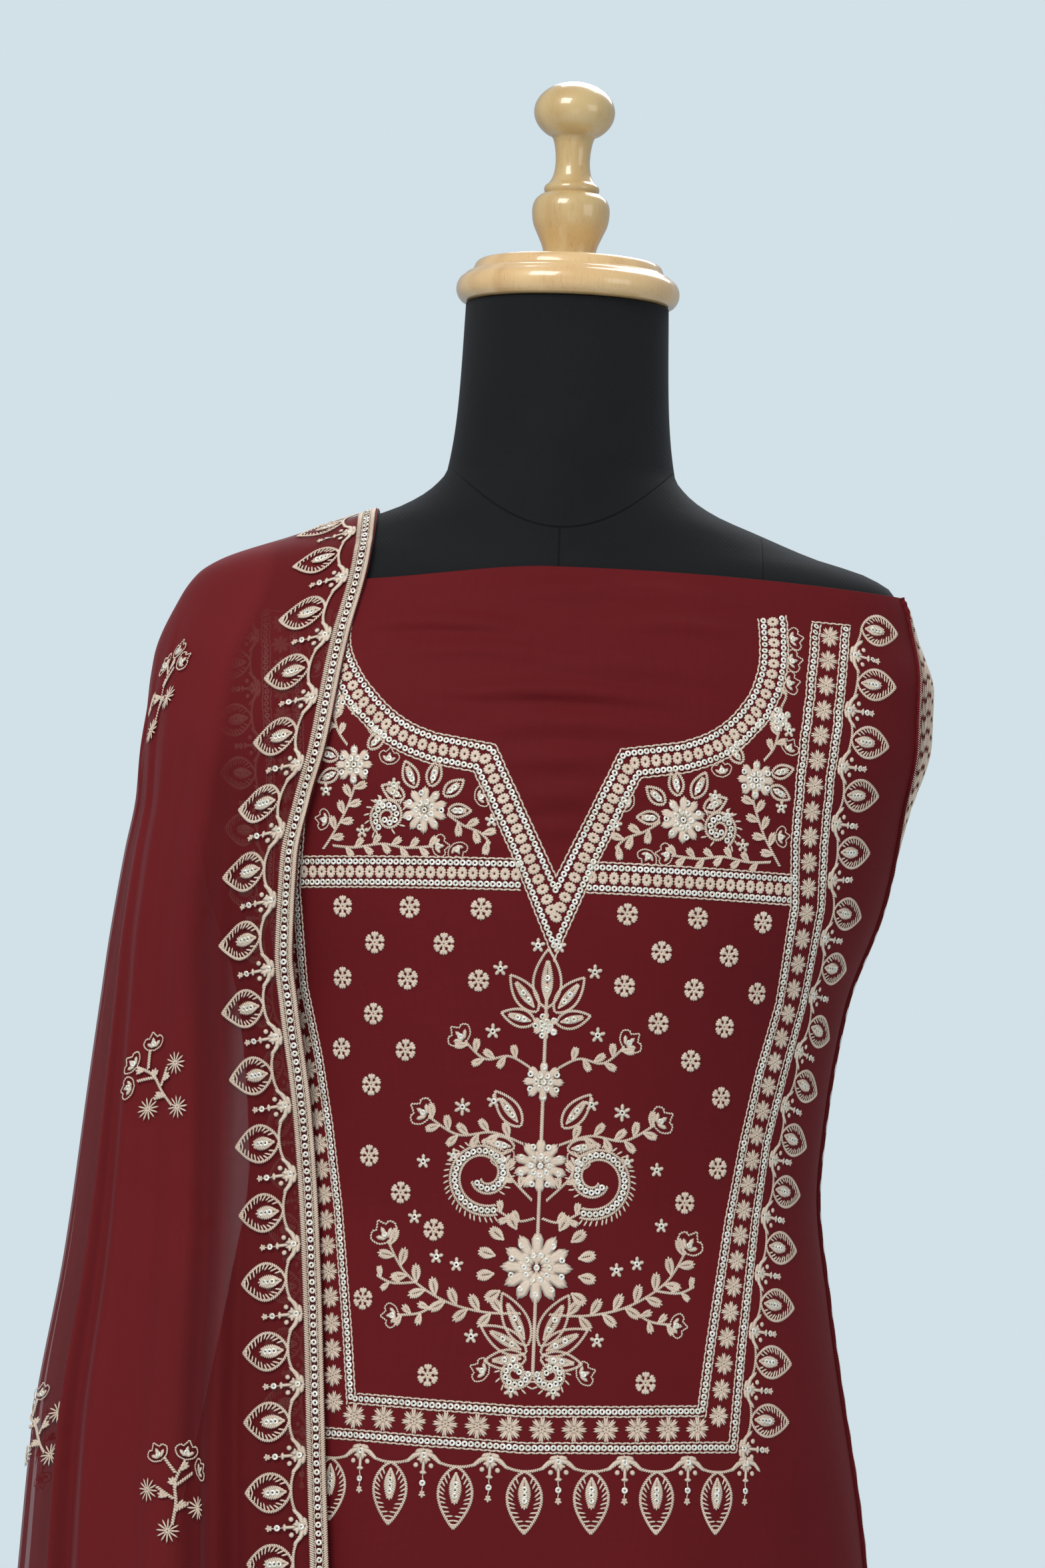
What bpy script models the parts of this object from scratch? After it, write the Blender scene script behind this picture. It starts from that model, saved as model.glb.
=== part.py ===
"""A salwar kameez suit on a limbless dress form, in metres, +Z up, standing on its round base at the origin.

The cloth is built the way the garment is cut. The kameez has a front panel, a back panel and a border
strip down each side, with side slits. The salwar has a waistband, a yoke in two halves, two legs and
two cuffs. The dupatta lies over the left shoulder as seen from the front, which faces -Y. Every section
is an ellipse whose half width and depths come from a short table, and folds push it outwards from there.
"""

import bisect
import math

import bmesh
import bpy

COLLECTION = "salwar_kameez_suit_on_dress_form"

SEAM_GAP = 0.0003
CLOTH = 0.0013
DUPATTA_CLOTH = 0.0011

KAMEEZ_HEM = 0.240
TOP_EDGE = 1.3655
TOP_EDGE_FRONT = 1.3725
KAMEEZ_ROWS = 24
SKIRT_FOLDS = 8
BORDER_WIDTH = 0.028
DUPATTA_HEM = 0.250
SLIT_TOP = 0.860


def table(columns, *rows):
    """Names the numbers of each row after the columns."""
    return [dict(zip(columns.split(), row)) for row in rows]


# One row for each section of the dress form, from its flat bottom to the top of its neck.
FORM = table(
    "z half_width front back",
    (0.780, 0.142, 0.098, 0.104),
    (0.830, 0.158, 0.108, 0.115),
    (0.890, 0.164, 0.112, 0.116),
    (0.950, 0.148, 0.106, 0.104),
    (0.986, 0.1315, 0.0995, 0.0930),
    (1.018, 0.1230, 0.0965, 0.0880),
    (1.035, 0.1220, 0.0960, 0.0870),
    (1.080, 0.126, 0.101, 0.090),
    (1.140, 0.139, 0.114, 0.097),
    (1.200, 0.156, 0.125, 0.103),
    (1.240, 0.176, 0.124, 0.106),
    (1.290, 0.196, 0.112, 0.105),
    (1.330, 0.200, 0.098, 0.100),
    (1.357, 0.200, 0.0850, 0.0920),
    (1.369, 0.196, 0.0780, 0.0860),
    (1.379, 0.179, 0.0730, 0.0810),
    (1.387, 0.151, 0.0700, 0.0770),
    (1.400, 0.117, 0.0665, 0.0710),
    (1.411, 0.090, 0.0650, 0.0670),
    (1.421, 0.075, 0.0640, 0.065),
    (1.432, 0.0665, 0.0630, 0.0640),
    (1.476, 0.0613, 0.0605, 0.0610),
    (1.5297, 0.0593, 0.0590, 0.0590),
)

# The kameez hangs clear of the form but at its top edge. The last column is the angle, from the centre
# front, at which the front panel ends and the border strip starts.
KAMEEZ = table(
    "z half_width front back border_at",
    (0.240, 0.262, 0.182, 0.176, 80.0),
    (0.450, 0.241, 0.170, 0.166, 80.0),
    (0.650, 0.217, 0.157, 0.154, 80.5),
    (0.800, 0.1990, 0.1460, 0.144, 82.0),
    (0.843, 0.1925, 0.1425, 0.140, 83.0),
    (0.908, 0.1800, 0.1350, 0.133, 84.5),
    (0.956, 0.1715, 0.1290, 0.124, 86.5),
    (1.020, 0.1630, 0.1230, 0.113, 88.0),
    (1.060, 0.1655, 0.1230, 0.110, 88.0),
    (1.128, 0.1755, 0.1280, 0.110, 88.0),
    (1.182, 0.1940, 0.1320, 0.112, 85.0),
    (1.243, 0.2090, 0.1310, 0.113, 76.5),
    (1.283, 0.2205, 0.1220, 0.112, 71.5),
    (1.310, 0.2205, 0.1120, 0.109, 72.0),
    (1.345, 0.2090, 0.0930, 0.0985, 79.0),
    (1.360, 0.2045, 0.0842, 0.0916, 80.0),
    (1.380, 0.1935, 0.0728, 0.0817, 80.0),
)

# Soft ridges that the pinned top edge drags across the chest: where each one lies and how far it runs.
DRAG_FOLDS = table(
    "z centre_x reach rise height droop",
    (1.346, 0.050, 0.095, 0.0018, 0.0085, 0.010),
    (1.316, -0.010, 0.105, 0.0022, 0.0100, 0.016),
    (1.281, 0.020, 0.090, 0.0026, 0.0120, 0.012),
    (1.240, -0.005, 0.070, 0.0024, 0.0140, 0.008),
)

# The dupatta's front-view outline on the left side, and its border edges in front and behind.
DUPATTA = table(
    "z outer border_front border_back arm_edge",
    (0.250, 0.322, 0.0820, 0.078, 72.0),
    (0.450, 0.313, 0.0890, 0.084, 74.0),
    (0.650, 0.301, 0.0970, 0.090, 76.0),
    (0.789, 0.292, 0.1045, 0.095, 78.0),
    (0.876, 0.286, 0.1110, 0.099, 79.5),
    (0.970, 0.272, 0.1180, 0.103, 81.0),
    (1.064, 0.262, 0.1275, 0.107, 83.0),
    (1.120, 0.2555, 0.1365, 0.110, 84.5),
    (1.153, 0.2515, 0.1405, 0.112, 86.0),
    (1.203, 0.2445, 0.1395, 0.113, 87.5),
    (1.2365, 0.2390, 0.1335, 0.113, 89.0),
    (1.2665, 0.2380, 0.1260, 0.113, 90.0),
    (1.316, 0.2335, 0.1185, 0.112, 90.0),
    (1.3515, 0.2195, 0.1125, 0.111, 90.0),
    (1.366, 0.2095, 0.1105, 0.110, 90.0),
    (1.3745, 0.1970, 0.1095, 0.109, 90.0),
    (1.3893, 0.1570, 0.1080, 0.1075, 90.0),
    (1.4027, 0.1190, 0.1070, 0.1065, 90.0),
    (1.4077, 0.1055, 0.1050, 0.1050, 90.0),
)
RIDGE_TOP = 1.4077
RIDGE_FOOT = 1.305
SHOULDER_FALL = 0.150
SEAM_FALL = 0.0012
SETTLE = 0.075
DUPATTA_PLEATS = 6
PLEAT_DRIFT = 0.030

# One salwar leg: the centre and half sizes of its tube from the waist seam down to the cuff.
LEG = table(
    "z centre_x half_width half_depth",
    (0.0850, 0.112, 0.0560, 0.0560),
    (0.1300, 0.114, 0.0670, 0.0690),
    (0.2200, 0.115, 0.0780, 0.0830),
    (0.3600, 0.112, 0.0860, 0.0930),
    (0.5000, 0.108, 0.0900, 0.1000),
    (0.6000, 0.105, 0.0900, 0.1030),
)
CROTCH = 0.600
SEAT = 0.760
SEAT_STEPS = 4
CUFF_TOP = 0.0842
CUFF_FOOT = 0.0500
WAISTBAND_TOP = 1.018
WAISTBAND_FOOT = 0.986
SALWAR_EASE = 0.0009

POLE_RADIUS = 0.0125
BASE_RADIUS = 0.185
BASE_HEIGHT = 0.020
BOSS_RADIUS = 0.030
BOSS_TOP = 0.046
CAP_TOP = 1.5555
TURNING_STEPS = 28
FORM_SIDES = 24


def rule(rows, column):
    """A smooth function of height through one column of a table, with no overshoot between its rows."""
    heights = [row["z"] for row in rows]
    values = [row[column] for row in rows]
    slopes = [
        (b - a) / (high - low)
        for a, b, low, high in zip(values, values[1:], heights, heights[1:])
    ]
    tangents = [slopes[0]]
    for before, after in zip(slopes, slopes[1:]):
        turns = before * after <= 0
        tangents.append(0.0 if turns else 2 * before * after / (before + after))
    tangents.append(slopes[-1])

    def value(z):
        z = min(max(z, heights[0]), heights[-1])
        i = min(bisect.bisect_right(heights, z) - 1, len(heights) - 2)
        span = heights[i + 1] - heights[i]
        s = (z - heights[i]) / span
        return (
            values[i] * (1 + 2 * s) * (1 - s) ** 2
            + values[i + 1] * s * s * (3 - 2 * s)
            + span * s * (1 - s) * (tangents[i] * (1 - s) - tangents[i + 1] * s)
        )

    return value


def ease(x):
    """Rises smoothly from 0 to 1 as x goes from 0 to 1."""
    x = min(max(x, 0.0), 1.0)
    return x * x * (3 - 2 * x)


def mix(a, b, share):
    return a + (b - a) * share


form_width, form_front, form_back = (rule(FORM, c) for c in ("half_width", "front", "back"))
kameez_width, kameez_front, kameez_back, border_angle = (
    rule(KAMEEZ, c) for c in ("half_width", "front", "back", "border_at")
)
dupatta_outer, border_in_front, border_behind, arm_edge_angle = (
    rule(DUPATTA, c) for c in ("outer", "border_front", "border_back", "arm_edge")
)
leg_centre, leg_width, leg_depth = (rule(LEG, c) for c in ("centre_x", "half_width", "half_depth"))


def on_ellipse(angle, width, front, back, out=0.0):
    """A point of a section, at an angle in radians from the centre front, pushed out by a distance."""
    depth = front if math.cos(angle) > 0 else back
    x, y = width * math.sin(angle), -depth * math.cos(angle)
    nx, ny = x / width**2, y / depth**2
    length = math.hypot(nx, ny)
    return x + out * nx / length, y + out * ny / length


def principled(name, colour, roughness, metallic=0.0):
    material = bpy.data.materials.new(name)
    material.use_nodes = True
    shader = material.node_tree.nodes["Principled BSDF"]
    shader.inputs["Base Color"].default_value = (*colour, 1.0)
    shader.inputs["Roughness"].default_value = roughness
    shader.inputs["Metallic"].default_value = metallic
    return material


def add_object(name, mesh, material, collection, parent):
    piece = bpy.data.objects.new(name, mesh)
    mesh.materials.append(material)
    collection.objects.link(piece)
    piece.parent = parent
    return piece


def sheet_mesh(name, point, across, down, closed=False):
    """An open grid of faces from point(u, v), with u counter-clockwise round the form and v downwards."""
    bm = bmesh.new()
    count = across if closed else across + 1
    rows = [
        [bm.verts.new(point(i / across, j / down)) for i in range(count)]
        for j in range(down + 1)
    ]
    for upper, lower in zip(rows, rows[1:]):
        for i in range(across):
            k = (i + 1) % count
            bm.faces.new((upper[i], lower[i], lower[k], upper[k]))
    mesh = bpy.data.meshes.new(name)
    bm.to_mesh(mesh)
    bm.free()
    mesh.shade_smooth()
    return mesh


def cloth(name, point, across, down, material, place, thickness=CLOTH, closed=False):
    """A sheet of cloth: point(u, v) is its inner face, and Solidify gives its thickness outwards."""
    piece = add_object(name, sheet_mesh(name, point, across, down, closed), material, *place)
    wall = piece.modifiers.new("thickness", "SOLIDIFY")
    wall.thickness = thickness
    wall.offset = 1.0
    return piece


def turned(name, profile, material, place, steps=TURNING_STEPS):
    """A turned piece from (radius, height) pairs that run down its outer side."""
    mesh = bpy.data.meshes.new(name)
    edges = [(i, i + 1) for i in range(len(profile) - 1)]
    mesh.from_pydata([(r, 0.0, z) for r, z in profile], edges, [])
    piece = add_object(name, mesh, material, *place)
    lathe = piece.modifiers.new("lathe", "SCREW")
    lathe.steps = lathe.render_steps = steps
    lathe.use_merge_vertices = True
    lathe.merge_threshold = 0.0001
    lathe.use_smooth_shade = True
    return piece


def arc(centre, radii, start, stop, count):
    """Points of an elliptical arc in a turned profile, by angles in degrees above the horizontal."""
    (r, z), (across, up) = centre, radii
    angles = [math.radians(mix(start, stop, i / count)) for i in range(count + 1)]
    return [(r + across * math.cos(a), z + up * math.sin(a)) for a in angles]


def form_rows():
    """Heights of the form's rings: its table's own, with one more in the middle of each long step."""
    heights = []
    for low, high in zip(FORM, FORM[1:]):
        steps = 2 if high["z"] - low["z"] > 0.045 else 1
        heights += [mix(low["z"], high["z"], i / steps) for i in range(steps)]
    return heights + [FORM[-1]["z"]]


def dress_form(material, place):
    """The padded form: a loft through the sections of its table, closed flat at the hip and the neck."""
    heights = form_rows()[::-1]

    def point(u, v):
        z = heights[round(v * (len(heights) - 1))]
        x, y = on_ellipse(2 * math.pi * u, form_width(z), form_front(z), form_back(z))
        return x, y, z

    mesh = sheet_mesh("dress_form", point, FORM_SIDES, len(heights) - 1, closed=True)
    bm = bmesh.new()
    bm.from_mesh(mesh)
    rims = [e for e in bm.edges if e.is_boundary]
    bmesh.ops.holes_fill(bm, edges=rims)
    bmesh.ops.recalc_face_normals(bm, faces=bm.faces)
    bm.to_mesh(mesh)
    bm.free()
    mesh.set_sharp_from_angle(angle=math.radians(50))
    add_object("dress_form", mesh, material, *place)


def neck_cap(material, place):
    """The turned wooden disc on the neck: a narrow flat top, an ogee and a rounded lip."""
    lip = arc((0.0585, 1.5385), (0.0065, 0.0080), 70, -80, 6)
    profile = [(0.0, CAP_TOP), (0.0515, CAP_TOP), (0.0545, 1.5535), *lip, (0.0560, 1.5300), (0.0, 1.5300)]
    turned("neck_cap", profile, material, place)


def finial(material, place):
    """The turned knob: a flattened ball on a slim neck, a bead, and a vase down to the cap."""
    ball = arc((0.0, 1.6440), (0.0235, 0.0175), 90, -62, 9)
    foot = CAP_TOP + SEAM_GAP
    profile = [
        *ball,
        (0.0105, 1.6240),
        (0.0100, 1.6130),
        (0.0120, 1.6025),
        (0.0158, 1.5990),
        (0.0155, 1.5955),
        (0.0205, 1.5925),
        (0.0228, 1.5860),
        (0.0218, 1.5785),
        (0.0172, 1.5690),
        (0.0150, 1.5610),
        (0.0155, foot),
        (0.0, foot),
    ]
    turned("finial", profile, material, place, steps=22)


def stand(wood, steel, place):
    """The round base with its boss, and the pole from the boss to the underside of the form."""
    rim = arc((BASE_RADIUS - 0.008, BASE_HEIGHT - 0.008), (0.008, 0.008), 90, 0, 3)
    base = [
        (0.0, BOSS_TOP),
        (BOSS_RADIUS - 0.006, BOSS_TOP),
        (BOSS_RADIUS - 0.002, BOSS_TOP - 0.006),
        (BOSS_RADIUS, BASE_HEIGHT + 0.008),
        (BOSS_RADIUS + 0.010, BASE_HEIGHT),
        *rim,
        (BASE_RADIUS, 0.0),
        (0.0, 0.0),
    ]
    turned("stand_base", base, wood, place, steps=36)
    foot, top = BOSS_TOP + SEAM_GAP, FORM[0]["z"] - SEAM_GAP
    pole = [(0.0, top), (POLE_RADIUS, top), (POLE_RADIUS, foot), (0.0, foot)]
    turned("stand_pole", pole, steel, place, steps=20)


def kameez_top(angle):
    """The pinned top edge runs straight across, and rises a little at the centre front."""
    return mix(TOP_EDGE, TOP_EDGE_FRONT, max(0.0, math.cos(angle)) ** 0.8)


def kameez_height(angle, v):
    top = kameez_top(angle)
    return mix(top, KAMEEZ_HEM, v**1.45)


def drag_folds(x, z):
    """How far the folds across the chest stand out at a point of the front."""
    out = 0.0
    for fold in DRAG_FOLDS:
        along = (x - fold["centre_x"]) / fold["reach"]
        middle = fold["z"] - fold["droop"] * along**2
        fade = max(0.0, 1 - along**2) ** 2
        out += fold["rise"] * fade * math.exp(-(((z - middle) / fold["height"]) ** 2))
    return out


def flare_folds(angle, z):
    """Rounded folds of the skirt, which grow from the hip to the hem."""
    depth = 0.016 * ease((0.95 - z) / (0.95 - KAMEEZ_HEM))
    return depth * (0.5 - 0.5 * math.cos(SKIRT_FOLDS * angle))


def kameez_point(angle, z):
    out = flare_folds(angle, z)
    width = kameez_width(z)
    if math.cos(angle) > 0:
        out += drag_folds(width * math.sin(angle), z)
    x, y = on_ellipse(angle, width, kameez_front(z), kameez_back(z), out)
    return x, y, z


def along_side(z, distance):
    """The angle that a distance along the side of the kameez makes there."""
    return distance / kameez_front(z)


def kameez_edges(z):
    """Angles at which the front panel ends and the border strip starts and ends."""
    border = math.radians(border_angle(z))
    slit = along_side(z, 0.040) * ease((SLIT_TOP - z) / (SLIT_TOP - KAMEEZ_HEM))
    return border - along_side(z, SEAM_GAP) - slit, border, border + along_side(z, BORDER_WIDTH)


def kameez(material, place):
    """The front panel, the border strips at its sides and the back panel, with side slits."""
    side_height = [kameez_height(math.pi / 2, j / KAMEEZ_ROWS) for j in range(KAMEEZ_ROWS + 1)]

    def rows(angle, v):
        """Heights follow the top edge, and agree with the sides at a seam."""
        return mix(side_height[round(v * KAMEEZ_ROWS)], kameez_height(angle, v), max(0.0, math.cos(angle)))

    def front(u, v):
        z = side_height[round(v * KAMEEZ_ROWS)]
        angle = kameez_edges(z)[0] * (2 * u - 1)
        blend = 1 - abs(2 * u - 1) ** 3
        z = mix(z, rows(angle, v), blend)
        return kameez_point(kameez_edges(z)[0] * (2 * u - 1), z)

    def strip(side):
        def point(u, v):
            z = side_height[round(v * KAMEEZ_ROWS)]
            _, start, end = kameez_edges(z)
            angle = mix(start, end, u if side > 0 else 1 - u)
            x, y, z = kameez_point(angle, z)
            return side * x, y, z

        return point

    def back(u, v):
        z = side_height[round(v * KAMEEZ_ROWS)]
        start = kameez_edges(z)[2] + along_side(z, 2 * SEAM_GAP)
        angle = mix(start, 2 * math.pi - start, u)
        return kameez_point(angle, z)

    cloth("kameez_front", front, 24, KAMEEZ_ROWS, material, place)
    cloth("kameez_border_right", strip(1), 1, KAMEEZ_ROWS, material, place)
    cloth("kameez_border_left", strip(-1), 1, KAMEEZ_ROWS, material, place)
    cloth("kameez_back", back, 18, KAMEEZ_ROWS, material, place)


def ridge_height(share):
    """Height on the shoulder outline, by the share of its length from the neck side to the arm side."""
    steps = 60
    heights = [mix(RIDGE_TOP, RIDGE_FOOT, i / steps) for i in range(steps + 1)]
    lengths = [0.0]
    for high, low in zip(heights, heights[1:]):
        lengths.append(lengths[-1] + math.hypot(dupatta_outer(low) - dupatta_outer(high), high - low))
    wanted = share * lengths[-1]
    i = min(bisect.bisect_right(lengths, wanted) - 1, steps - 1)
    return mix(heights[i], heights[i + 1], (wanted - lengths[i]) / (lengths[i + 1] - lengths[i]))


def dupatta_depth(z, side):
    """Half depth of the dupatta's section: its border edge lies on the kameez, or on the shoulder."""
    front = side < 0
    shoulder = (form_front if front else form_back)(z - 0.0018) + 0.0018
    if z > 1.388:
        return shoulder
    edge = (border_in_front if front else border_behind)(z)
    under = (kameez_front if front else kameez_back)(z) * math.sqrt(1 - (edge / kameez_width(z)) ** 2)
    clear = CLOTH + 0.0017 + 0.0026 * ease((1.34 - z) / 0.10) + 0.0010 * ease((z - 1.352) / 0.012)
    clear += 0.016 * ease((0.98 - z) / (0.98 - KAMEEZ_HEM))
    on_kameez = (under + clear) / math.sqrt(1 - (edge / dupatta_outer(z)) ** 2)
    return mix(shoulder, max(shoulder, on_kameez), ease((1.388 - z) / 0.010))


def dupatta_point(share, fall, side):
    """share runs from the border edge by the neck to the arm edge, and fall from the ridge to the hem."""
    u = share + PLEAT_DRIFT * math.sin(4 * math.pi * share)
    top = ridge_height(u)
    z = mix(top, DUPATTA_HEM, fall**1.8)
    outer = dupatta_outer(z)
    edge = (border_in_front if side < 0 else border_behind)(z)
    inner_angle = math.asin(min(1.0, edge / outer))
    hanging = outer * math.sin(mix(inner_angle, math.radians(arm_edge_angle(z)), u))
    x = mix(dupatta_outer(top), hanging, ease((top - z) / SETTLE))
    x = min(x, outer)
    angle = math.asin(x / outer)
    depth = dupatta_depth(z, side)
    pleat = mix(0.0015, 0.013, ease((1.37 - z) / 0.75))
    pleat *= ease((top - z) / 0.06) * (0.5 - 0.5 * math.cos(2 * math.pi * DUPATTA_PLEATS * share))
    x, y = on_ellipse(angle, outer, depth, depth, pleat)
    return -x, -side * y, z


def dupatta(material, place):
    """The stretch over the shoulder, and the two long falls in front and behind."""
    across = 4 * DUPATTA_PLEATS

    def falling(side, start):
        def point(u, v):
            share = 1 - u if side < 0 else u
            return dupatta_point(share, mix(start, 1.0, v), side)

        return point

    def over_shoulder(u, v):
        side = -1 if u < 0.5 else 1
        gap = mix(SEAM_FALL, 3 * SEAM_FALL, v)
        return dupatta_point(v, abs(2 * u - 1) * (SHOULDER_FALL - gap), side)

    size = {"thickness": DUPATTA_CLOTH}
    cloth("dupatta_front", falling(-1, SHOULDER_FALL), across, 20, material, place, **size)
    cloth("dupatta_back", falling(1, SHOULDER_FALL), across, 15, material, place, **size)
    cloth("dupatta_shoulder", over_shoulder, 8, across, material, place, **size)


def leg_section(z):
    """Centre and half sizes of a leg's tube below the crotch, or of the seat above it."""
    return leg_centre(z), leg_width(z), leg_depth(z)


def leg_point(a, z):
    """A point of the right leg: a runs from the centre front round the outer side to the centre back."""
    angle = math.pi * a
    seat = ease((z - CROTCH) / (SEAT - CROTCH))
    centre, width, depth = leg_section(z)
    tube_angle = 2 * math.pi * (a - 0.5) * (1 - SEAM_GAP / (math.pi * depth))
    tube_x = centre + width * math.cos(tube_angle)
    tube_y = depth * math.sin(tube_angle)
    ease_out = SALWAR_EASE + 0.004 * ease((WAISTBAND_FOOT - z) / 0.08)
    body = (form_width(z) + ease_out, form_front(z) + ease_out, form_back(z) + ease_out)
    body_x, body_y = on_ellipse(angle, *body)
    body_x = max(body_x, SEAM_GAP / 2)
    return mix(tube_x, body_x, seat), mix(tube_y, body_y, seat), z


def salwar(material, place):
    """The waistband on the form, the two halves of the yoke under it, and a leg and a cuff on each side."""

    def band(u, v):
        z = mix(WAISTBAND_TOP, WAISTBAND_FOOT, v)
        x, y = on_ellipse(
            2 * math.pi * u, form_width(z) + SALWAR_EASE, form_front(z) + SALWAR_EASE, form_back(z) + SALWAR_EASE
        )
        return x, y, z

    yoke_rows = [WAISTBAND_FOOT - 3 * SEAM_GAP]
    yoke_rows += [z for z in reversed(form_rows()) if z < WAISTBAND_FOOT]
    yoke_rows += [mix(FORM[0]["z"], CROTCH, (i + 1) / SEAT_STEPS) for i in range(SEAT_STEPS - 1)]
    yoke_rows += [CROTCH + SEAM_GAP / 2]
    leg_rows = [CROTCH - SEAM_GAP / 2] + [row["z"] for row in reversed(LEG) if row["z"] < CROTCH]

    def tube(side, heights):
        def point(u, v):
            x, y, z = leg_point(u if side > 0 else 1 - u, heights[round(v * (len(heights) - 1))])
            return side * x, y, z

        return point

    def cuff(side):
        def point(u, v):
            z = mix(CUFF_TOP, CUFF_FOOT, v)
            angle = 2 * math.pi * u
            radius = leg_width(CUFF_TOP)
            return side * leg_centre(CUFF_TOP) + radius * math.sin(angle), -radius * math.cos(angle), z

        return point

    cloth("salwar_waistband", band, FORM_SIDES, 1, material, place, closed=True)
    for word, side in (("right", 1), ("left", -1)):
        cloth(f"salwar_yoke_{word}", tube(side, yoke_rows), 18, len(yoke_rows) - 1, material, place)
        cloth(f"salwar_leg_{word}", tube(side, leg_rows), 18, len(leg_rows) - 1, material, place)
        cloth(f"salwar_cuff_{word}", cuff(side), 18, 1, material, place, closed=True)


def build():
    for item in list(bpy.data.objects):
        bpy.data.objects.remove(item, do_unlink=True)
    collection = bpy.data.collections.new(COLLECTION)
    bpy.context.scene.collection.children.link(collection)
    origin = bpy.data.objects.new("floor_under_stand", None)
    collection.objects.link(origin)
    place = (collection, origin)

    maroon = principled("kameez_georgette", (0.190, 0.013, 0.022), 0.75)
    sheer = principled("dupatta_georgette", (0.165, 0.012, 0.024), 0.80)
    knit = principled("form_knit", (0.016, 0.019, 0.021), 0.90)
    wood = principled("varnished_wood", (0.680, 0.450, 0.180), 0.25)
    steel = principled("black_steel", (0.020, 0.020, 0.022), 0.35, 0.6)

    dress_form(knit, place)
    neck_cap(wood, place)
    finial(wood, place)
    stand(wood, steel, place)
    kameez(maroon, place)
    salwar(maroon, place)
    dupatta(sheer, place)


build()
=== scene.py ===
# %% [markdown]
# # A salwar kameez suit on a dress form
#
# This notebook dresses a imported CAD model. The model gives the frame: where the form, the cloth and the stand
# are, and how large. Every piece made below is in metres, with +Z up and the front facing -Y, and it takes the
# place of the plain solid that it stands for, so nothing is scaled or fitted afterwards.

import math

import bmesh
import bpy
import numpy as np
from mathutils import Euler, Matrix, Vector


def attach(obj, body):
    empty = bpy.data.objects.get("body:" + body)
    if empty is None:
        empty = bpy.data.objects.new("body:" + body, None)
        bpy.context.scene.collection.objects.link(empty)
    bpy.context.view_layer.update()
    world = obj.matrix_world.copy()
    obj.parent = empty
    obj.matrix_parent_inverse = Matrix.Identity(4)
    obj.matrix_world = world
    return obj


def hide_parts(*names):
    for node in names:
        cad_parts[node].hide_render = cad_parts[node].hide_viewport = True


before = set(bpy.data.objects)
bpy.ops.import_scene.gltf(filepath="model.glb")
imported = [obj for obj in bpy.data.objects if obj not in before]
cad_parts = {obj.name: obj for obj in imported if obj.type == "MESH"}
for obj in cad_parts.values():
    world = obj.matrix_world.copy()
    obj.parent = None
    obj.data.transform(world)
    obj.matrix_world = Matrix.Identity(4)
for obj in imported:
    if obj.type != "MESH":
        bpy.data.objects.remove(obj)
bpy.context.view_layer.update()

# %% [markdown]
# ## The camera
#
# The picture was taken at chest height, level with the neckline, and the camera leaned a little to one side. A
# picture point belongs to the plane y = 0 first; anything nearer to the lens is really smaller and closer to
# the axis. The helper `seen` further down uses these same numbers, so they come before everything else.

# %% The camera
EYE = Vector((-0.0158, -2.5, 1.22))
AIM = Vector((-0.0158, 0.0, 1.2502))
LEAN = math.radians(2.14)
LENS = 98.3

camera_data = bpy.data.cameras.new("front_camera")
camera = bpy.data.objects.new("front_camera", camera_data)
bpy.context.scene.collection.objects.link(camera)
camera_data.lens = LENS
camera_data.sensor_width = 36.0
camera.location = EYE
facing = (AIM - EYE).to_track_quat("-Z", "Y")
camera.rotation_euler = (facing @ Euler((0, 0, LEAN)).to_quaternion()).to_euler()
bpy.context.scene.camera = camera

# %% [markdown]
# ## Sizes of the cloth
#
# A garment's sections are close to ellipses, so a short table of half widths and depths by height says nearly
# everything about its shape. The rows below repeat the ones the CAD was built from. `rule` draws a smooth curve
# through a column, which never swings past its rows, for one height or for a whole array of them.

# %% Tables and the curve through them
CLOTH = 0.0013
SHEER = 0.0011
KAMEEZ_HEM = 0.240
TOP_EDGE = 1.3655
TOP_EDGE_FRONT = 1.3725
SKIRT_FOLDS = 8
BORDER_WIDTH = 0.028
SEAM_GAP = 0.0003
SLIT_TOP = 0.860
DUPATTA_HEM = 0.250
RIDGE_TOP, RIDGE_FOOT = 1.4077, 1.305
DUPATTA_PLEATS = 6

FORM = (
    # height, half width, depth in front, depth behind
    (0.780, 0.142, 0.098, 0.104),
    (0.830, 0.158, 0.108, 0.115),
    (0.890, 0.164, 0.112, 0.116),
    (0.950, 0.148, 0.106, 0.104),
    (0.986, 0.1315, 0.0995, 0.0930),
    (1.018, 0.1230, 0.0965, 0.0880),
    (1.035, 0.1220, 0.0960, 0.0870),
    (1.080, 0.126, 0.101, 0.090),
    (1.140, 0.139, 0.114, 0.097),
    (1.200, 0.156, 0.125, 0.103),
    (1.240, 0.176, 0.124, 0.106),
    (1.290, 0.196, 0.112, 0.105),
    (1.330, 0.200, 0.098, 0.100),
    (1.357, 0.200, 0.0850, 0.0920),
    (1.369, 0.196, 0.0780, 0.0860),
    (1.379, 0.179, 0.0730, 0.0810),
    (1.387, 0.151, 0.0700, 0.0770),
    (1.400, 0.117, 0.0665, 0.0710),
    (1.411, 0.090, 0.0650, 0.0670),
    (1.421, 0.075, 0.0640, 0.065),
    (1.432, 0.0665, 0.0630, 0.0640),
    (1.476, 0.0613, 0.0605, 0.0610),
    (1.5297, 0.0593, 0.0590, 0.0590),
)
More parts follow.
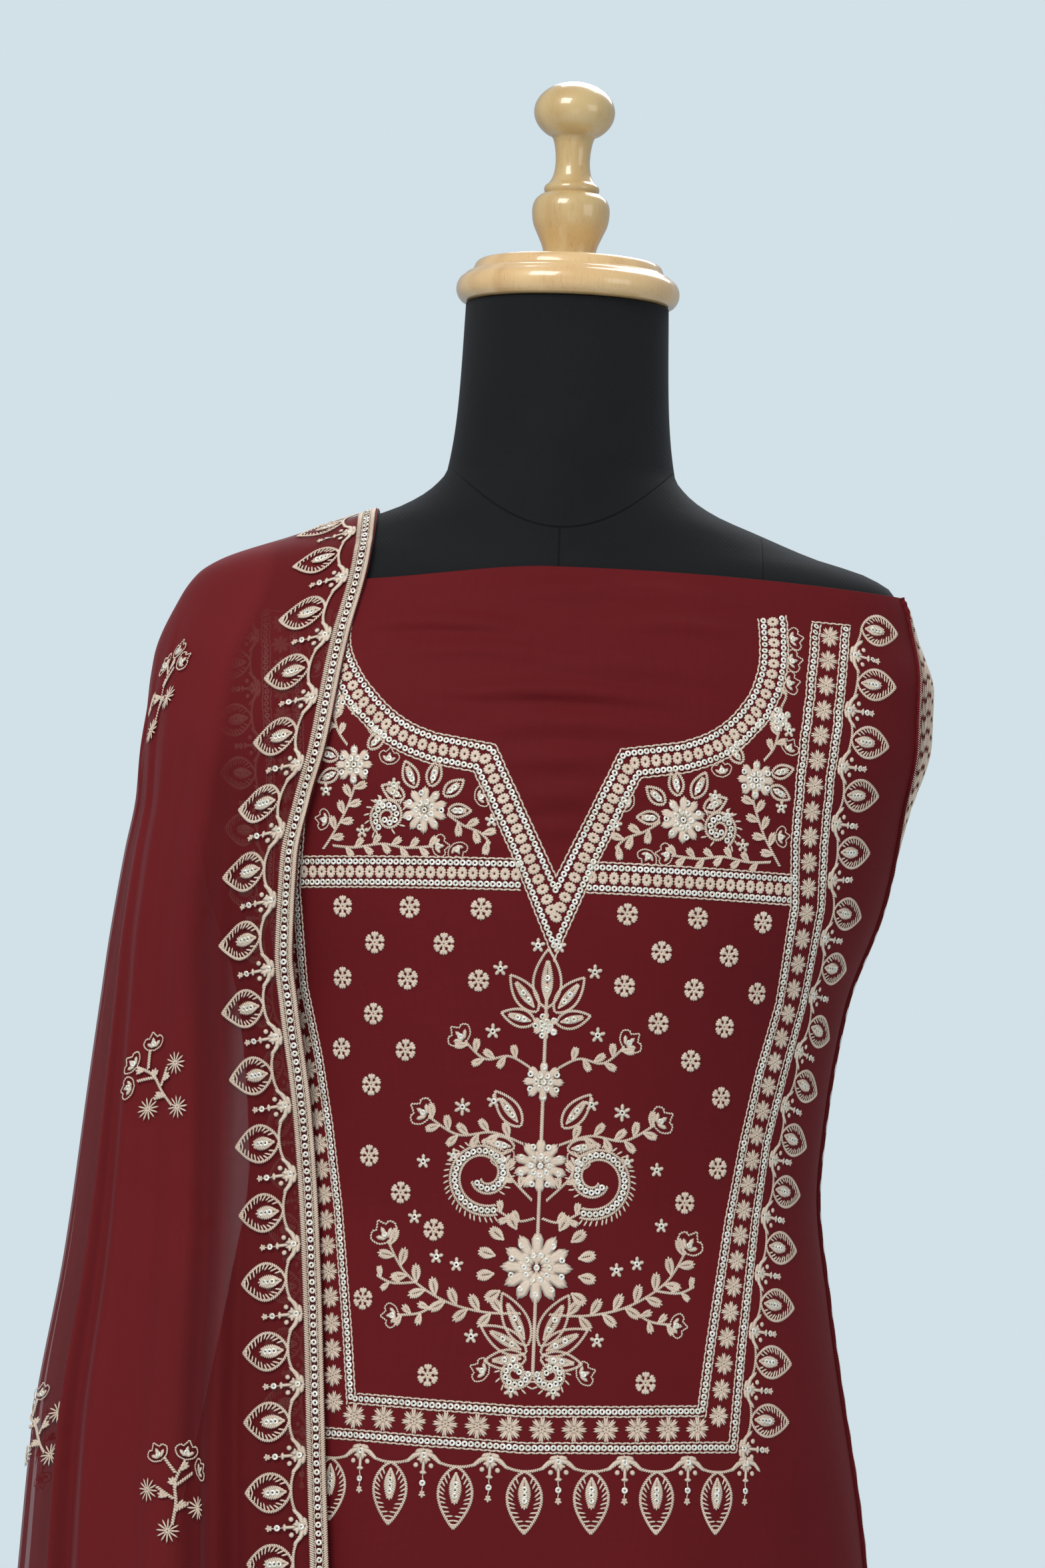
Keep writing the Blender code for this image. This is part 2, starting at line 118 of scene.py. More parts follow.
KAMEEZ = (
    # height, half width, depth in front, depth behind, angle in degrees where the border strip starts
    (0.240, 0.262, 0.182, 0.176, 80.0),
    (0.450, 0.241, 0.170, 0.166, 80.0),
    (0.650, 0.217, 0.157, 0.154, 80.5),
    (0.800, 0.1990, 0.1460, 0.144, 82.0),
    (0.843, 0.1925, 0.1425, 0.140, 83.0),
    (0.908, 0.1800, 0.1350, 0.133, 84.5),
    (0.956, 0.1715, 0.1290, 0.124, 86.5),
    (1.020, 0.1630, 0.1230, 0.113, 88.0),
    (1.060, 0.1655, 0.1230, 0.110, 88.0),
    (1.128, 0.1755, 0.1280, 0.110, 88.0),
    (1.182, 0.1940, 0.1320, 0.112, 85.0),
    (1.243, 0.2090, 0.1310, 0.113, 76.5),
    (1.283, 0.2205, 0.1220, 0.112, 71.5),
    (1.310, 0.2205, 0.1120, 0.109, 72.0),
    (1.345, 0.2090, 0.0930, 0.0985, 79.0),
    (1.360, 0.2045, 0.0842, 0.0916, 80.0),
    (1.380, 0.1935, 0.0728, 0.0817, 80.0),
)
DUPATTA = (
    # height, outer edge, border edge in front, border edge behind, angle of the arm edge
    (0.250, 0.322, 0.0820, 0.078, 72.0),
    (0.450, 0.313, 0.0890, 0.084, 74.0),
    (0.650, 0.301, 0.0970, 0.090, 76.0),
    (0.789, 0.292, 0.1045, 0.095, 78.0),
    (0.876, 0.286, 0.1110, 0.099, 79.5),
    (0.970, 0.272, 0.1180, 0.103, 81.0),
    (1.064, 0.262, 0.1275, 0.107, 83.0),
    (1.120, 0.2555, 0.1365, 0.110, 84.5),
    (1.153, 0.2515, 0.1405, 0.112, 86.0),
    (1.203, 0.2445, 0.1395, 0.113, 87.5),
    (1.2365, 0.2390, 0.1335, 0.113, 89.0),
    (1.2665, 0.2380, 0.1260, 0.113, 90.0),
    (1.316, 0.2335, 0.1185, 0.112, 90.0),
    (1.3515, 0.2195, 0.1125, 0.111, 90.0),
    (1.366, 0.2095, 0.1105, 0.110, 90.0),
    (1.3745, 0.1970, 0.1095, 0.109, 90.0),
    (1.3893, 0.1570, 0.1080, 0.1075, 90.0),
    (1.4027, 0.1190, 0.1070, 0.1065, 90.0),
    (1.4077, 0.1055, 0.1050, 0.1050, 90.0),
)
LEG = (
    # height, centre, half width, half depth
    (0.0850, 0.112, 0.0560, 0.0560),
    (0.1300, 0.114, 0.0670, 0.0690),
    (0.2200, 0.115, 0.0780, 0.0830),
    (0.3600, 0.112, 0.0860, 0.0930),
    (0.5000, 0.108, 0.0900, 0.1000),
    (0.6000, 0.105, 0.0900, 0.1030),
)


def rule(rows, column):
    """A smooth function of height through one column of a table, with no overshoot."""
    heights = np.array([row[0] for row in rows])
    values = np.array([row[column] for row in rows])
    slopes = np.diff(values) / np.diff(heights)
    before, after = slopes[:-1], slopes[1:]
    total = np.where(before + after == 0, 1.0, before + after)
    inner = np.where(before * after > 0, 2 * before * after / total, 0.0)
    tangents = np.concatenate((slopes[:1], inner, slopes[-1:]))

    def value(z):
        z = np.clip(z, heights[0], heights[-1])
        i = np.clip(np.searchsorted(heights, z, side="right") - 1, 0, len(heights) - 2)
        span = heights[i + 1] - heights[i]
        s = (z - heights[i]) / span
        blend = values[i] * (1 + 2 * s) * (1 - s) ** 2 + values[i + 1] * s * s * (3 - 2 * s)
        return blend + span * s * (1 - s) * (tangents[i] * (1 - s) - tangents[i + 1] * s)

    return value


def ease(x):
    """Rises smoothly from 0 to 1 as x goes from 0 to 1."""
    x = np.clip(x, 0.0, 1.0)
    return x * x * (3 - 2 * x)


def mix(a, b, share):
    return a + (b - a) * share


def bump(x, middle, reach):
    """A smooth hill of height 1 at the middle, gone at the reach."""
    return np.clip(1 - ((x - middle) / reach) ** 2, 0.0, 1.0) ** 2


def on_ellipse(angle, width, front, back, out=0.0):
    """Points of a section, at an angle from the centre front, pushed out by a distance."""
    depth = np.where(np.cos(angle) > 0, front, back)
    x, y = width * np.sin(angle), -depth * np.cos(angle)
    nx, ny = x / width**2, y / depth**2
    length = np.hypot(nx, ny)
    return x + out * nx / length, y + out * ny / length


form_width, form_front, form_back = (rule(FORM, i) for i in (1, 2, 3))
kameez_width, kameez_front, kameez_back, border_angle = (rule(KAMEEZ, i) for i in (1, 2, 3, 4))
dupatta_outer, border_in_front, border_behind, arm_edge = (rule(DUPATTA, i) for i in (1, 2, 3, 4))
leg_centre, leg_width, leg_depth = (rule(LEG, i) for i in (1, 2, 3))
print("half width of the kameez at the waist", round(float(kameez_width(1.02)), 4))

# %% [markdown]
# ## Writing material maths as Python
#
# A material is a graph of nodes, and a long formula needs many Math nodes. `Wire` wraps one socket and overloads
# + - * /, so a formula reads as a formula, and each operation adds its own node. Every other kind of node comes
# from its one method, `node`, which sets the settings first and then the inputs.

# %% A socket that can be added and multiplied


class Wire:
    """One output socket of a material; arithmetic on wires adds Math nodes."""

    def __init__(self, tree, socket=None):
        self.tree, self.socket = tree, socket

    def node(self, kind, settings=None, inputs=None, output=0):
        made = self.tree.nodes.new(kind if "Node" in kind else "ShaderNode" + kind)
        for name, value in (settings or {}).items():
            if name == "stops":
                ramp = made.color_ramp
                while len(ramp.elements) < len(value):
                    ramp.elements.new(1.0)
                for element, (place, colour) in zip(ramp.elements, value):
                    element.position, element.color = place, (*colour, 1.0)
            else:
                setattr(made, name, value)
        for name, value in (inputs or {}).items():
            if isinstance(value, Wire):
                self.tree.links.new(value.socket, made.inputs[name])
            else:
                made.inputs[name].default_value = value
        return Wire(self.tree, made.outputs[output])

    def math(self, operation, *others):
        return self.node("Math", {"operation": operation}, dict(enumerate((self, *others))))

    def __add__(self, other):
        return self.math("ADD", other)

    def __sub__(self, other):
        return self.math("SUBTRACT", other)

    def __rsub__(self, other):
        return self.node("Math", {"operation": "SUBTRACT"}, {0: other, 1: self})

    def __mul__(self, other):
        return self.math("MULTIPLY", other)

    def __truediv__(self, other):
        return self.math("DIVIDE", other)

    __radd__, __rmul__ = __add__, __mul__

    def step(self, low, high):
        """0 below low, 1 above high, and smooth between."""
        return self.node(
            "MapRange",
            {"interpolation_type": "SMOOTHSTEP"},
            {"Value": self, "From Min": low, "From Max": high},
        )

    def line(self, middle, half):
        """1 on a thin line where the value passes the middle, 0 away from it."""
        return 1 - (self - middle).math("ABSOLUTE").step(0.0, half)

    def tint(self, colour, other):
        """A colour that goes from colour to other as the value goes from 0 to 1."""
        inputs = {0: self, 6: colour, 7: other}
        inputs = {k: v if isinstance(v, Wire) else (*v, 1.0) if k else v for k, v in inputs.items()}
        return self.node("Mix", {"data_type": "RGBA"}, inputs, output=2)

    def parts(self):
        return [self.node("SeparateXYZ", None, {0: self}, output=i) for i in range(3)]

    def noise(self, scale, detail=2.0, roughness=0.5, stretch=None):
        """Noise over these coordinates: scale is how many grains fit in a metre."""
        place = self
        if stretch:
            place = self.node("Mapping", None, {"Vector": self, "Scale": stretch})
        inputs = {"Vector": place, "Scale": scale, "Detail": detail, "Roughness": roughness}
        return self.node("TexNoise", {"noise_dimensions": "3D"}, inputs)

    def relief(self, depth, strength=1.0):
        """The height map as a bump, with its depth in metres."""
        inputs = {"Height": self, "Distance": depth, "Strength": strength}
        return self.node("Bump", None, inputs)


def new_material(name, roughness=0.6, **constants):
    """A Principled material, and a start for its wires. The constants are set on the shader's own sockets."""
    material = bpy.data.materials.new(name)
    material.use_nodes = True
    shader = material.node_tree.nodes["Principled BSDF"]
    shader.inputs["Roughness"].default_value = roughness
    for socket, value in constants.items():
        shader.inputs[socket.replace("_", " ")].default_value = value
    return material, shader, Wire(material.node_tree)


def feed(shader, **wires):
    """Links wires into the shader's sockets, such as Base_Color and Normal."""
    for name, wire in wires.items():
        wire.tree.links.new(wire.socket, shader.inputs[name.replace("_", " ")])


print("materials can be written")

# %% [markdown]
# ## Building a sheet of cloth
#
# Cloth is a grid of points worked out by a formula, with a Solidify modifier for its thickness. The UV map is
# measured along the threads in metres, so a weave drawn on it has the same size everywhere and follows the
# folds, which Object coordinates can't do.

# %% Grids, and the pieces made from them


def arc_lengths(points, axis):
    """Distance along a grid's rows or columns from the first point."""
    steps = np.linalg.norm(np.diff(points, axis=axis), axis=2)
    return np.concatenate((np.zeros_like(steps.take([0], axis)), np.cumsum(steps, axis)), axis)


def grid_piece(name, points, material, thickness=0.0, closed=False, even=True):
    """A piece from rows of points that run counter-clockwise round the object, the top row first."""
    rows, count = points.shape[:2]
    if closed:
        points = np.concatenate((points, points[:, :1]), axis=1)
    across, down = arc_lengths(points, 1), arc_lengths(points, 0)
    if closed:
        points = points[:, :-1]
    bm = bmesh.new()
    verts = [[bm.verts.new(p) for p in row] for row in points]
    uv = bm.loops.layers.uv.new("threads")
    for j in range(rows - 1):
        for i in range(count if closed else count - 1):
            k = (i + 1) % count
            corners = ((j, i, i), (j + 1, i, i), (j + 1, k, i + 1), (j, k, i + 1))
            face = bm.faces.new([verts[r][c] for r, c, _ in corners])
            face.smooth = True
            for loop, (r, _, c) in zip(face.loops, corners):
                loop[uv].uv = (across[r, c], -down[r, c])
    mesh = bpy.data.meshes.new(name)
    bm.to_mesh(mesh)
    bm.free()
    mesh.materials.append(material)
    piece = bpy.data.objects.new(name, mesh)
    bpy.context.scene.collection.objects.link(piece)
    if thickness:
        wall = piece.modifiers.new("thickness", "SOLIDIFY")
        wall.thickness = thickness
        wall.offset = 1.0
        wall.use_even_offset = even
    return piece


def cut_size(points):
    """Width and length of the flat cloth that a grid was hung from."""
    width = arc_lengths(points, 1)[:, -1].max()
    length = arc_lengths(points, 0)[-1].max()
    return float(width), float(length)


def cut_area(points):
    """Area of a grid of points."""
    a = points[1:, 1:] - points[:-1, :-1]
    b = points[1:, :-1] - points[:-1, 1:]
    return float(np.linalg.norm(np.cross(a, b), axis=2).sum() / 2)


def declare_cloth(piece, points):
    """Says what flat cut the piece had, worked out from its own grid."""
    width, length = cut_size(points)
    area = min(cut_area(points), width * length)
    print(f"{piece.name}: cut {width:.3f} x {length:.3f} m, area {area:.3f} m2")


def seat(piece, slot, *nodes):
    """The piece rides on the body and stands for the nodes; the slot is not used."""
    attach(piece, "root")
    if nodes:
        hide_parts(*nodes)


print("cloth helpers ready")

# %% [markdown]
# ## The padded form
#
# The form is stuffed canvas under a charcoal knit cover. Its shape is the CAD table drawn with more rings. The
# cover is cut in panels, so a seam runs round the foot of the neck, one runs down the centre front and one down
# each side of the chest and back. A seam is a shallow groove a millimetre wide, too fine for a mesh, so it is drawn
# as relief: the height dips where a point's own coordinates come close to the seam's line.

# %% The knit cover and the form
NECK_SEAM_SIDE, NECK_SEAM_FRONT, NECK_SEAM_REACH = 1.432, 1.396, 0.064
PANEL_SEAM = 0.1165


def knit_cover():
    material, shader, paint = new_material("charcoal_knit_cover", 0.9, Sheen_Weight=0.10, Sheen_Roughness=0.5)
    shader.inputs["Specular IOR Level"].default_value = 0.14
    shader.inputs["Sheen Tint"].default_value = (0.55, 0.60, 0.66, 1.0)
    place = paint.node("TexCoord", output=3)
    x, y, z = place.parts()
    neck_line = z - NECK_SEAM_SIDE + (1 - (x * x) / NECK_SEAM_REACH**2) * (NECK_SEAM_SIDE - NECK_SEAM_FRONT)
    near_neck = 1 - x.math("ABSOLUTE").step(NECK_SEAM_REACH, NECK_SEAM_REACH + 0.004)
    neck_seam = neck_line.line(0.0, 0.0012) * near_neck
    below_neck = 1 - z.step(NECK_SEAM_FRONT - 0.001, NECK_SEAM_FRONT + 0.001)
    centre_seam = x.line(0.0, 0.0009) * below_neck
    panel_seam = x.math("ABSOLUTE").line(PANEL_SEAM, 0.0010) * below_neck
    seams = neck_seam.math("MAXIMUM", centre_seam).math("MAXIMUM", panel_seam)
    cloudy = place.noise(14.0, 3.0)
    fleck = place.noise(1900.0, 1.0, 0.6)
    ribs = (x * 2600.0).math("SINE") * (z * 2100.0).math("SINE")
    tone = (cloudy * 0.7 + fleck * 0.5 - seams * 0.55).tint((0.0040, 0.0042, 0.0047), (0.0150, 0.0155, 0.0165))
    height = fleck * 0.35 + ribs * 0.12 - seams * 2.2 + place.noise(60.0, 2.0) * 0.8
    feed(shader, Base_Color=tone, Normal=height.relief(0.0006, 0.6))
    return material


def form_points(sides=112, rows=200):
    heights = np.linspace(FORM[-1][0], FORM[0][0], rows)[:, None]
    angle = np.linspace(0, 2 * math.pi, sides, endpoint=False)[None, :]
    x, y = on_ellipse(angle, form_width(heights), form_front(heights), form_back(heights))
    return np.stack(np.broadcast_arrays(x, y, heights), axis=-1)


knit = knit_cover()
form = grid_piece("padded_form", form_points(), knit, closed=True)
bm = bmesh.new()
bm.from_mesh(form.data)
bmesh.ops.holes_fill(bm, edges=[e for e in bm.edges if e.is_boundary])
bmesh.ops.recalc_face_normals(bm, faces=bm.faces)
bm.to_mesh(form.data)
bm.free()
form.data.set_sharp_from_angle(angle=math.radians(50))
seat(form, "form_cover", "dress_form")
print("form faces", len(form.data.polygons))

# %% [markdown]
# ## Turned wood
#
# The neck cap, the knob and the base came off a lathe, so each is a profile turned round the pole. A profile is
# written as runs of points: a smooth curve is drawn through each run, and a sharp edge stays where one run ends
# and the next begins. The varnish is the shader's coat, and the grain is noise stretched up the wood.

# %% The lathe, the wood and the turned pieces
CAP_TOP = 1.5555
BASE_RADIUS, BASE_HEIGHT, BOSS_RADIUS, BOSS_TOP = 0.185, 0.020, 0.030, 0.046
POLE_RADIUS = 0.0125


def through(points, steps=7):
    """A smooth run of points through the given ones."""
    p = np.array([points[0], *points, points[-1]], dtype=float)
    out = []
    for a, b, c, d in zip(p, p[1:], p[2:], p[3:]):
        for t in np.arange(steps) / steps:
            out.append(0.5 * (2 * b + (c - a) * t + (2 * a - 5 * b + 4 * c - d) * t**2 + (3 * b - a - 3 * c + d) * t**3))
    return [*out, p[-1]]


def arc(centre, radii, start, stop, count=14):
    """Points of an elliptical arc of a profile, by angles in degrees above the horizontal."""
    angles = np.radians(np.linspace(start, stop, count + 1))
    return [(centre[0] + radii[0] * math.cos(a), centre[1] + radii[1] * math.sin(a)) for a in angles]


def turned(name, runs, material, sides=96):
    """A turned piece from runs of (radius, height) that go down its outer side."""
    profile = [p for run in runs for p in (through(run) if len(run) > 2 else run)]
    profile = [p for i, p in enumerate(profile) if i == 0 or math.dist(p, profile[i - 1]) > 1e-6]
    bm = bmesh.new()
    rings = []
    for radius, height in profile:
        if radius < 1e-6:
            rings.append([bm.verts.new((0, 0, height))] * sides)
        else:
            angles = [2 * math.pi * i / sides for i in range(sides)]
            rings.append([bm.verts.new((radius * math.cos(a), radius * math.sin(a), height)) for a in angles])
    for upper, lower in zip(rings, rings[1:]):
        for i in range(sides):
            corners = [upper[i], lower[i], lower[(i + 1) % sides], upper[(i + 1) % sides]]
            bm.faces.new(list(dict.fromkeys(corners))).smooth = True
    bmesh.ops.recalc_face_normals(bm, faces=bm.faces)
    mesh = bpy.data.meshes.new(name)
    bm.to_mesh(mesh)
    bm.free()
    mesh.materials.append(material)
    mesh.set_sharp_from_angle(angle=math.radians(45))
    piece = bpy.data.objects.new(name, mesh)
    bpy.context.scene.collection.objects.link(piece)
    return piece


def varnished_wood(name, light, dark, knots=()):
    """Pale close-grained wood under gloss varnish, with a few small dark knots where they are asked for."""
    material, shader, paint = new_material(name, 0.34, Coat_Weight=0.9, Coat_Roughness=0.06)
    place = paint.node("TexCoord", output=3)
    grain = place.noise(60.0, 4.0, 0.6, (1.0, 1.0, 0.16))
    pores = place.noise(900.0, 2.0, 0.5, (1.0, 1.0, 0.07))
    x, y, z = place.parts()
    rings = (((x + 0.03) * (x + 0.03) + (y - 0.05) * (y - 0.05)).math("SQRT") * 420.0 + grain * 5.0).math("SINE")
    share = grain * 0.75 + rings * 0.10 + pores.step(0.52, 0.75) * 0.20
    tone = share.step(0.15, 0.95).tint(light, dark)
    for centre, size in knots:
        far = place.node("VectorMath", {"operation": "DISTANCE"}, {0: place, 1: centre}, output=1)
        tone = (1 - (far + pores * 0.0006).step(size * 0.4, size)).tint(tone, (0.16, 0.075, 0.022))
    height = pores * 0.5 + grain * 0.6
    feed(shader, Base_Color=tone, Roughness=grain * 0.16 + 0.26, Normal=height.relief(0.0003, 0.25))
    return material


cap_wood = varnished_wood("varnished_cap_wood", (0.84, 0.57, 0.27), (0.62, 0.345, 0.130))
# The knob is the same wood as the cap, but its tones are set darker: painted shade. Its knots are its own.
shade_painted_knob_wood = varnished_wood(
    "varnished_shade_painted_knob_wood",
    (0.66, 0.475, 0.215),
    (0.50, 0.300, 0.105),
    [((0.0035, -0.0222, 1.6402), 0.0011), ((-0.0050, -0.0219, 1.6440), 0.0007), ((0.0090, -0.0205, 1.6375), 0.0008)],
)
base_wood = varnished_wood("varnished_base_wood", (0.70, 0.44, 0.18), (0.48, 0.24, 0.08))

cap = turned(
    "turned_neck_cap",
    [
        [(0.0, CAP_TOP), (0.0510, CAP_TOP)],
        [(0.0510, CAP_TOP), (0.0528, CAP_TOP - 0.0006), (0.0544, CAP_TOP - 0.0022), (0.0560, 1.5494)],
        [(0.0560, 1.5494), (0.0592, 1.5478), *arc((0.0585, 1.5385), (0.0068, 0.0082), 66, -66, 7), (0.0562, 1.5303)],
        [(0.0562, 1.5303), (0.0, 1.5300)],
    ],
    cap_wood,
)
FOOT = CAP_TOP + SEAM_GAP
knob = turned(
    "turned_knob",
    [
        [*arc((0.0, 1.6440), (0.0237, 0.0176), 90, -58, 16), (0.0112, 1.6256)],
        [(0.0112, 1.6256), (0.0103, 1.6200), (0.0101, 1.6130), (0.0112, 1.6065), (0.0135, 1.6022)],
        [(0.0135, 1.6022), (0.0156, 1.6004), (0.0162, 1.5982), (0.0155, 1.5962)],
        [(0.0155, 1.5962), (0.0180, 1.5950), (0.0212, 1.5918), (0.0227, 1.5865), (0.0219, 1.5785)]
        + [(0.0190, 1.5715), (0.0164, 1.5655), (0.0153, 1.5605), (0.0158, FOOT)],
        [(0.0158, FOOT), (0.0, FOOT)],
    ],
    shade_painted_knob_wood,
)
base = turned(
    "turned_base",
    [
        [(0.0, BOSS_TOP), (BOSS_RADIUS - 0.006, BOSS_TOP)],
        [
            (BOSS_RADIUS - 0.006, BOSS_TOP),
            (BOSS_RADIUS - 0.002, BOSS_TOP - 0.002),
            (BOSS_RADIUS - 0.001, BOSS_TOP - 0.006),
            (BOSS_RADIUS, BASE_HEIGHT + 0.010),
            (BOSS_RADIUS + 0.003, BASE_HEIGHT + 0.003),
            (BOSS_RADIUS + 0.010, BASE_HEIGHT),
        ],
        [(BOSS_RADIUS + 0.010, BASE_HEIGHT), (BASE_RADIUS - 0.008, BASE_HEIGHT)],
        [*arc((BASE_RADIUS - 0.008, BASE_HEIGHT - 0.008), (0.008, 0.008), 90, 0, 5)],
        [(BASE_RADIUS, BASE_HEIGHT - 0.008), (BASE_RADIUS, 0.0)],
        [(BASE_RADIUS, 0.0), (0.0, 0.0)],
    ],
    base_wood,
    sides=144,
)
seat(cap, "turned_wood", "neck_cap")
seat(knob, "turned_wood", "finial")
seat(base, "turned_wood", "stand_base")


def black_steel():
    material, shader, paint = new_material("black_coated_steel", 0.38, Metallic=0.4)
    place = paint.node("TexCoord", output=3)
    worn = place.noise(45.0, 4.0, 0.6, (1.0, 1.0, 0.3))
    tone = worn.step(0.35, 0.75).tint((0.012, 0.012, 0.013), (0.034, 0.034, 0.036))
    grit = place.noise(2600.0, 1.0)
    feed(shader, Base_Color=tone, Roughness=worn * 0.30 + 0.22, Normal=grit.relief(0.0001, 0.3))
    return material


pole = turned(
    "steel_pole",
    [
        [(0.0, 0.7797), (POLE_RADIUS - 0.0008, 0.7797)],
        [(POLE_RADIUS - 0.0008, 0.7797), (POLE_RADIUS, 0.7789)],
        [(POLE_RADIUS, 0.7789), (POLE_RADIUS, BOSS_TOP + 0.0011)],
        [(POLE_RADIUS, BOSS_TOP + 0.0011), (POLE_RADIUS - 0.0008, BOSS_TOP + SEAM_GAP)],
        [(POLE_RADIUS - 0.0008, BOSS_TOP + SEAM_GAP), (0.0, BOSS_TOP + SEAM_GAP)],
    ],
    black_steel(),
    sides=48,
)
seat(pole, "pole_steel", "stand_pole")
print("turned pieces", [len(p.data.polygons) for p in (cap, knob, base, pole)])

# %% [markdown]
# ## Georgette
#
# The suit is crepe georgette: thin, matt, with a fine pebbly surface and no shine of its own. The pebbles are a
# few tenths of a millimetre, so they are relief on the thread coordinates, together with a faint slub. The upper
# part of the kameez is a little brighter than the skirt, because the light comes from above, so the colour only
# drifts slightly.

# %% The georgette of the kameez and the salwar


def georgette(name, light, dark, sheen=0.03, crumple=0.5):
    material, shader, paint = new_material(name, 0.74, Sheen_Weight=sheen, Sheen_Roughness=0.45)
    shader.inputs["Specular IOR Level"].default_value = 0.13
    shader.inputs["Sheen Tint"].default_value = (0.95, 0.42, 0.42, 1.0)
    threads = paint.node("UVMap", {"uv_map": "threads"})
    place = paint.node("TexCoord", output=3)
    pebble = threads.noise(1500.0, 2.0, 0.7)
    slub = threads.noise(330.0, 2.0, 0.5, (1.0, 0.12, 1.0)) * 0.5 + threads.noise(330.0, 2.0, 0.5, (0.12, 1.0, 1.0)) * 0.5
    drift = place.noise(6.0, 3.0)
    share = (drift - 0.5) * 0.9 + (pebble - 0.5) * 0.5 + (slub - 0.5) * 0.5 + 0.5
    tone = share.tint(dark, light)
    soft = place.noise(38.0, 3.0, 0.55) * crumple
    height = pebble * 0.22 + slub * 0.12 + soft
    feed(shader, Base_Color=tone, Roughness=pebble * 0.2 + 0.64, Normal=height.relief(0.0012, 0.5))
    return material


kameez_cloth = georgette("kameez_georgette_maroon", (0.156, 0.0082, 0.0112), (0.100, 0.0055, 0.0078))
salwar_cloth = georgette("salwar_santoon_maroon", (0.165, 0.0098, 0.0140), (0.110, 0.0068, 0.0100), 0.06)
print("georgette ready")

# %% [markdown]
# ## The kameez
#
# Front and back are two panels with a narrow embroidered strip between them at each side. The panel is pinned
# along its straight top edge, so soft ridges run across the chest from the pins. Below the hip the cloth stands
# away from the body and falls in rounded folds. The folds come from formulas on the same two numbers that place
# every point: the angle round the form and the height.

# %% Points of the kameez
DRAG_FOLDS = (
    # height, centre, reach, rise, half height, droop at the ends
    (1.360, 0.020, 0.105, 0.0026, 0.0060, 0.008),
    (1.3385, -0.062, 0.066, 0.0038, 0.0042, 0.007),
    (1.342, 0.064, 0.056, 0.0030, 0.0050, 0.008),
    (1.324, -0.040, 0.075, 0.0028, 0.0050, 0.009),
    (1.317, 0.040, 0.070, 0.0030, 0.0065, 0.010),
    (1.3015, 0.002, 0.078, 0.0056, 0.0044, 0.006),
    (1.284, 0.012, 0.074, 0.0036, 0.0060, 0.008),
    (1.263, 0.004, 0.044, 0.0032, 0.0050, 0.004),
    (1.243, 0.004, 0.030, 0.0028, 0.0050, 0.002),
    (1.225, 0.004, 0.022, 0.0022, 0.0045, 0.001),
)
rng = np.random.default_rng(11)
FINE_FOLDS = [
    (z, rng.uniform(-0.06, 0.07), rng.uniform(0.035, 0.075), rng.uniform(0.0005, 0.0013), rng.uniform(0.0022, 0.0042),
     rng.uniform(-0.006, 0.010))
    for z in np.linspace(1.215, 1.362, 15)
]


def folds_across(x, z, table):
    out = np.zeros(np.broadcast(x, z).shape)
    for height, centre, reach, rise, half, droop in table:
        along = (x - centre) / reach
        middle = height - droop * along**2
        out = out + rise * np.clip(1 - along**2, 0, 1) ** 2 * np.exp(-(((z - middle) / half) ** 2))
    return out


def flare_folds(angle, z):
    depth = 0.016 * ease((0.95 - z) / (0.95 - KAMEEZ_HEM))
    return depth * (0.5 - 0.5 * np.cos(SKIRT_FOLDS * angle))


def kameez_points(angle, z, out=0.0):
    """Points of the inner face of the kameez, pushed out by a distance; CLOTH gives its outer face."""
    angle, z = np.broadcast_arrays(angle, z)
    width = kameez_width(z)
    across = width * np.sin(angle)
    in_front = ease(np.cos(angle) * 6)
    out = out + flare_folds(angle, z) + in_front * folds_across(across, z, DRAG_FOLDS)
    out = out + in_front * folds_across(across, z, FINE_FOLDS)
    out = out + 0.0016 * bump(z, 0.62, 0.34) * (0.5 - 0.5 * np.cos(SKIRT_FOLDS * 2 * angle + 1.7 + 2.0 * z))
    x, y = on_ellipse(angle, width, kameez_front(z), kameez_back(z), out)
    return np.stack((x, y, z), axis=-1)


def kameez_edges(z):
    """Angles where the front panel ends, and where the border strip starts and ends."""
    border = np.radians(border_angle(z))
    slit = 0.040 / kameez_front(z) * ease((SLIT_TOP - z) / (SLIT_TOP - KAMEEZ_HEM))
    return border - SEAM_GAP / kameez_front(z) - slit, border, border + BORDER_WIDTH / kameez_front(z)


def top_edge(angle):
    return mix(TOP_EDGE, TOP_EDGE_FRONT, np.clip(np.cos(angle), 0, 1) ** 0.8)


def panel_heights(rows):
    return mix(TOP_EDGE, KAMEEZ_HEM, np.linspace(0, 1, rows + 1)[:, None] ** 1.5)


def front_panel(across, rows, out=0.0):
    u = np.linspace(-1, 1, across + 1)[None, :]
    side = panel_heights(rows)
    share = (TOP_EDGE - side) / (TOP_EDGE - KAMEEZ_HEM)
    angle = kameez_edges(side)[0] * u
    z = mix(top_edge(angle), KAMEEZ_HEM, share)
    z = mix(side, z, np.clip(np.cos(angle), 0, 1) * (1 - np.abs(u) ** 3))
    z = z - 0.0085 * bump(angle, -0.62, 0.6) * ease((z - 1.30) / 0.07)
    return kameez_points(kameez_edges(z)[0] * u, z, out)


def back_panel(across, rows, out=0.0):
    z = panel_heights(rows)
    start = kameez_edges(z)[2] + 2 * SEAM_GAP / kameez_front(z)
    u = np.linspace(0, 1, across + 1)[None, :]
    return kameez_points(mix(start, 2 * math.pi - start, u), z, out)


def side_strip(across, rows, side, out=0.0):
    z = panel_heights(rows)
    _, start, end = kameez_edges(z)
    u = np.linspace(0, 1, across + 1)[None, :]
    points = kameez_points(mix(start, end, u), z, out)
    if side < 0:
        points = points[:, ::-1] * (-1, 1, 1)
    return points


